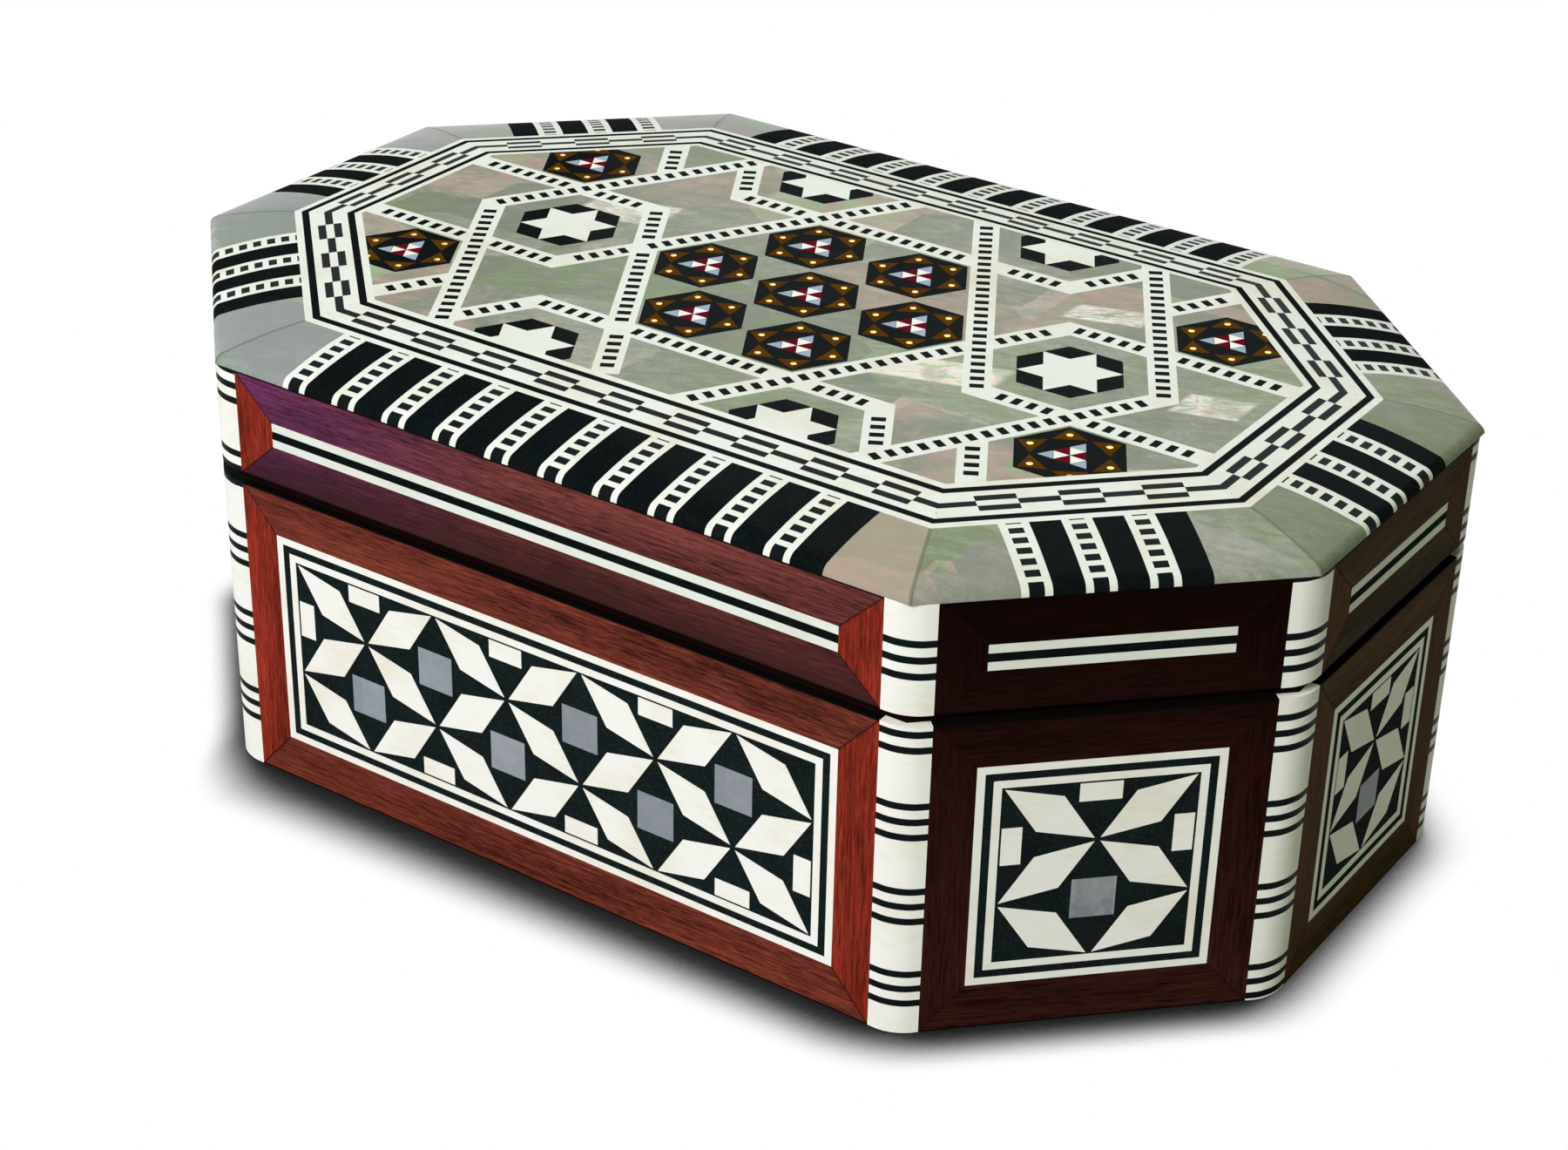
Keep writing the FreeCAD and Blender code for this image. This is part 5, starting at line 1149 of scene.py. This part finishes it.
class ModelMosaics(bpy.types.Operator):
    """Triangles and brass dots of the mosaic hexagons"""
    bl_idname = "music_box.model_mosaics"
    bl_label = "Mosaic hexagons"

    def execute(self, context):
        radius = hexagon_radius()
        reach = radius * STAR_REACH
        corners = []
        inner = []
        edges = []
        for up in (90, 210, 330):
            corners.append(self.triangle(along_ray(up, reach * 2 / 3), reach / 3, up))
            inner.append(self.triangle(along_ray(up, reach / 3), reach / 3, up + 180))
            edges.append(self.triangle(along_ray(up + 60, reach / 3), reach / 3, up))
        browns = []
        dots = []
        for turn in range(0, 360, 60):
            foot = [along_ray(turn + side, radius * BROWN_FOOT) for side in (BROWN_SPREAD, -BROWN_SPREAD)]
            browns.append(self.tile([along_ray(turn, radius * BROWN_TIP)] + foot))
            dots.append(self.dot(along_ray(turn, radius * DOT_PLACE)))
        groups = (
            ("mosaic_blue_tiles", corners, plain_finish("mosaic_blue", "mosaic_blue", 0.7, 0.25)),
            ("mosaic_white_tiles", inner, bone_finish("mosaic_white")),
            ("mosaic_red_tiles", edges, plain_finish("mosaic_red", "mosaic_red", 0.45, 0.3)),
            ("mosaic_brown_tiles", browns, plain_finish("mosaic_brown", "mosaic_brown", 0.5, 0.3)),
            ("mosaic_brass_dots", dots, plain_finish("mosaic_brass", "brass", 0.7, 0.25, 1.0)),
        )
        for name, parts, material in groups:
            copies = [copied(part, turned_place(centre)) for centre in mosaic_centres() for part in parts]
            for part in parts:
                bpy.data.objects.remove(part)
            piece = joined_pieces(name, copies, material, "lid")
            self.keep_in_field(piece)
        return {"FINISHED"}

    def keep_in_field(self, piece):
        """Cut the tiles off along the eight sides of the field."""
        activate(piece)
        bpy.ops.object.mode_set(mode="EDIT")
        corners = octagon_corners(field_inset())
        for side in range(8):
            cut_off(corners[side], (corners[side] - corners[side - 1]).cross(UP))
        finished(piece)

    def tile(self, outline):
        """A flat tile of the mosaic."""
        proud = sizes().tile_proud
        return eased_tile("mosaic_tile", outline, proud, proud * TILE_EASE)

    def triangle(self, middle, radius, turn):
        """A tile with three equal sides, a little smaller than its place."""
        reach = radius * TRIANGLE_FIT
        return self.tile([middle + along_ray(turn + 120 * step, reach) for step in range(3)])

    def dot(self, middle):
        """A domed brass dot."""
        proud = sizes().tile_proud
        outline = [middle + along_ray(45 * step, DOT_RADIUS) for step in range(8)]
        return eased_tile("mosaic_dot", outline, proud * 1.5, proud, segments=2)


class DressMovement(bpy.types.Operator):
    """Metal of the movement and the hinges, and the clear cover"""
    bl_idname = "music_box.dress_movement"
    bl_label = "Movement"

    def execute(self, context):
        brass = plain_finish("polished_brass", "brass", 0.6, 0.16, 1.0)
        steel = plain_finish("brushed_steel", "steel", 0.6, 0.2, 1.0)
        for slot, material in (("hinge_brass", brass), ("brass", brass), ("steel", steel)):
            names = [part["node"] for part in frame["record"]["subparts"] if part["material_slot"] == slot]
            wear(names, material)
        clear = Finish("clear_cover")
        haze = clear.noise(clear.spot(), 0.2, detail=3.0)
        clear.shine(
            base_color=clear.mix(haze, (0.9, 0.95, 0.94, 1), (1, 1, 1, 1)), roughness=haze * 0.06,
            transmission_weight=1.0, ior=1.45,
        )
        wear(["movement_cover"], clear.material)
        return {"FINISHED"}


class ModelScrews(bpy.types.Operator):
    """Round slotted screws of the comb and the movement"""
    bl_idname = "music_box.model_screws"
    bl_label = "Screws"

    def execute(self, context):
        steel = plain_finish("screw_steel", "steel", 0.5, 0.2, 1.0)
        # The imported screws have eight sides, and the round ones fit within their flats
        flat = math.cos(EIGHTH)
        low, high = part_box("comb_screws")
        radius = (high.x - low.x) / 2
        x = low.x + radius
        spots = [(x, low.y + radius), (x, high.y - radius)]
        self.place("comb_screws", spots, low.z, high.z, radius * flat, steel)
        low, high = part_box("movement_screws")
        radius = sizes().screw_head / flat
        x = low.x + radius
        y = low.y + radius
        spots = [(x, y), (high.x - radius, y), (x, high.y - radius)]
        self.place("movement_screws", spots, high.z, low.z, radius * flat, steel)
        return {"FINISHED"}

    def place(self, node, spots, tip, crown, radius, material):
        """Model a screw at each spot, from tip to crown, and put them in place of the plain ones."""
        screws = []
        for x, y in spots:
            screws += self.screw(Vector((x, y, tip)), Vector((x, y, crown)), radius)
        piece = joined_pieces(f"{node}_slotted", screws, material, "base")
        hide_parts(node)

    def rod(self, foot, rise, radius, count):
        """A round bar left in edit mode."""
        outline = [foot + along_ray(360 / count * step, radius) for step in range(count)]
        piece = flat_piece("screw_rod", outline)
        thicken(rise)
        return piece

    def screw(self, tip, crown, radius):
        """A screw from tip to crown: a shank, and a head with an eased rim and a slot across it."""
        box = sizes()
        way = (crown - tip).normalized()
        under = crown - way * box.screw_height
        shank = finished(self.rod(tip, under - tip, radius / HEAD_TO_SHANK, SHANK_SIDES))
        head = self.rod(under, crown - under, radius, HEAD_SIDES)
        select_beyond(head, "EDGE", (under + crown) / 2, way)
        bpy.ops.mesh.bevel(offset=RIM_EASE, segments=3, affect="EDGES")
        finished(head)
        floor = crown - way * box.screw_height * SLOT_DEPTH
        slot = flat_piece("screw_slot", rectangle(floor, radius * SLOT_OVERRUN, SLOT_HALF_WIDTH))
        thicken(way * box.screw_height)
        finished(slot)
        activate(head)
        bpy.ops.object.modifier_add(type="BOOLEAN")
        cut = head.modifiers[-1]
        cut.operation = "DIFFERENCE"
        cut.object = slot
        bpy.ops.object.modifier_apply(modifier=cut.name)
        bpy.data.objects.remove(slot)
        return [head, shank]


class ModelLinings(bpy.types.Operator):
    """Velvet over thin pads in the compartment and inside the lid"""
    bl_idname = "music_box.model_linings"
    bl_label = "Velvet linings"

    def execute(self, context):
        box = sizes()
        material = velvet_finish()
        corners = octagon_corners(box.wall)
        low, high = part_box("storage_lining")
        ring = [Vector((low.x, corners[0].y, 0))] + corners[:4] + [Vector((low.x, corners[3].y, 0))]
        foot = low.z + box.lining
        pads = [self.pad([spot + UP * low.z for spot in ring], UP)]
        for start, end in zip(ring, ring[1:]):
            pads.append(self.wall_pad(start, end, foot, high.z, box.lining * PAD_TRIM))
        pads.append(self.wall_pad(ring[5], ring[0], foot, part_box("partition_board")[1].z, box.lining))
        self.lay("storage_velvet", pads, material, "storage_lining", "base")
        low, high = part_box("lid_lining")
        pads = [self.pad([spot + UP * high.z for spot in corners], -UP)]
        for index in range(8):
            start = corners[index - 1]
            top = high.z - box.lining
            pads.append(self.wall_pad(start, corners[index], low.z, top, box.lining * PAD_TRIM))
        self.lay("lid_velvet", pads, material, "lid_lining", "lid")
        return {"FINISHED"}

    def lay(self, name, pads, material, node, body):
        """Join the pads of one lining and put them in place of the plain one."""
        piece = joined_pieces(name, pads, material, body)
        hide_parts(node)

    def wall_pad(self, start, end, low, high, trim):
        """A pad on one wall, a little short of the corners so that it clears the pads beside it."""
        run = (end - start).normalized()
        outline = upright_rectangle(start + run * trim, end - run * trim, low, high)
        return self.pad(outline, UP.cross(run))

    def pad(self, outline, towards):
        """One pad: its outline pulled up off the board, then crowned by insets that each rise less."""
        lining = sizes().lining
        piece = flat_piece("velvet_pad", outline)
        rise = lining * (1 - sum(share for width, share in PAD_STEPS))
        thicken(towards * rise)
        select_beyond(piece, "FACE", outline[0] + towards * rise / 2, towards)
        for width, share in PAD_STEPS:
            bpy.ops.mesh.inset(thickness=width, depth=lining * share)
        face_outwards()
        return finished(piece, math.radians(70))


class SetStage(bpy.types.Operator):
    """Floor, light and camera of the studio"""
    bl_idname = "music_box.set_stage"
    bl_label = "Stage"

    def execute(self, context):
        self.floor()
        self.world(context.scene)
        for row in LAMPS:
            self.lamp(*row)
        self.camera(context.scene)
        return {"FINISHED"}

    def floor(self):
        """A wide pale floor, white to the camera, with a painted shadow of the box, widest along the front.
        """
        deselect()
        bpy.ops.mesh.primitive_grid_add(x_subdivisions=8, y_subdivisions=8, size=6.0)
        floor = bpy.context.object
        floor.name = "floor"
        finish = Finish("floor_white")
        x, y = finish.point()[:2]
        mottle = finish.noise(finish.spot(), 0.004, detail=2.0)
        pale = finish.mix(mottle, (0.25, 0.25, 0.25, 1), (0.29, 0.29, 0.29, 1))
        finish.shine(base_color=pale, roughness=0.9, specular_ior_level=0.0)
        plain = Level(finish, finish.surface.outputs[0])
        ways = (y * -1, x * -1, x, x * -1)
        ahead, right, left, beside = ((way - start) / run for way, (start, run) in zip(ways, SHADOW_EDGES))
        front = ahead.least(right).least(left).held()
        beside = beside.held() * (1 - front)
        reach = (SHADOW_REACH + front * (FRONT_EXTRA - x * FRONT_LEAN) - beside * LEFT_LESS) * MM
        values = {"Distance": reach, "Normal": finish.joined(*SHADOW_WAY)}
        near = finish.node("ShaderNodeAmbientOcclusion", {"samples": 16}, values, output="AO")
        open_share = ((near - OPEN_FROM) / (1 - OPEN_FROM)).held()
        open_share = open_share * open_share * (3 - open_share * 2)
        # A near-black floor, shown where the painted shadow falls
        dark = finish.node("ShaderNodeBsdfDiffuse", sockets={"Color": (0.02, 0.02, 0.02, 1)})
        white = finish.node("ShaderNodeEmission", sockets={"Color": (1, 1, 1, 1), "Strength": 1.0})
        shown = finish.node("ShaderNodeMixShader", sockets={0: open_share, 1: dark, 2: white})
        finish.show(finish.node("ShaderNodeMixShader", sockets={0: finish.seen(), 1: plain, 2: shown}))
        floor.data.materials.append(finish.material)

    def world(self, scene):
        """Even light all round, white to the camera and in reflections."""
        sky = Sky("studio")
        scene.world = sky.world
        white = (1, 1, 1, 1)
        dim = sky.node("ShaderNodeBackground", sockets={"Color": white, "Strength": SKY_LIGHT})
        bright = sky.node("ShaderNodeBackground", sockets={"Color": white, "Strength": 1.0})
        sky.show(sky.node("ShaderNodeMixShader", sockets={0: sky.seen(), 1: dim, 2: bright}))

    def lamp(self, name, spot, size, power, shade):
        """A square soft light that faces the box."""
        deselect()
        bpy.ops.object.light_add(type="AREA", location=spot)
        lamp = bpy.context.object
        lamp.name = name
        lamp.data.shape = "SQUARE"
        lamp.data.size = size
        lamp.data.energy = power
        lamp.data.color = shade
        lamp.rotation_euler = (LAMP_AIM - Vector(spot)).to_track_quat("-Z", "Y").to_euler()

    def camera(self, scene):
        """The photograph's view: round from the front to the right, from above, with a slight roll."""
        turn, rise, roll = map(math.radians, (CAMERA_TURN, CAMERA_RISE, CAMERA_ROLL))
        view = Matrix.Rotation(turn, 4, "Z") @ Matrix.Rotation(math.pi / 2 - rise, 4, "X")
        view = view @ Matrix.Rotation(roll, 4, "Z")
        deselect()
        bpy.ops.object.camera_add()
        camera = bpy.context.object
        camera.name = "photo_camera"
        camera.matrix_world = view @ Matrix.Translation(CAMERA_SPOT)
        camera.data.sensor_width = 36
        camera.data.lens = CAMERA_LENS
        camera.data.clip_start = 0.01
        scene.camera = camera


OPERATORS = (
    DressWood, ModelCornerStrips, ModelSidePanels, ModelLidMargin, DressLidBand, ModelLidField, ModelMosaics,
    DressMovement, ModelScrews, ModelLinings, SetStage,
)


class MusicBoxPanel(bpy.types.Panel):
    """Lists the steps that dress the music box"""
    bl_idname = "VIEW3D_PT_music_box"
    bl_label = "Music Box"
    bl_space_type = "VIEW_3D"
    bl_region_type = "UI"
    bl_category = "Music Box"

    def draw(self, context):
        for operator in OPERATORS:
            self.layout.operator(operator.bl_idname)


CLASSES = (BoxSizes, BoxColours, BoxSettings) + OPERATORS + (MusicBoxPanel,)


def register():
    for entry in CLASSES:
        bpy.utils.register_class(entry)
    bpy.types.Scene.music_box = bpy.props.PointerProperty(type=BoxSettings)


def unregister():
    del bpy.types.Scene.music_box
    for entry in reversed(CLASSES):
        bpy.utils.unregister_class(entry)


def main():
    """Dress the box and set the stage."""
    register()
    bpy.context.scene.view_settings.view_transform = "Standard"
    for operator in OPERATORS:
        group, step = operator.bl_idname.split(".")
        getattr(getattr(bpy.ops, group), step)()


if __name__ == "__main__":
    main()
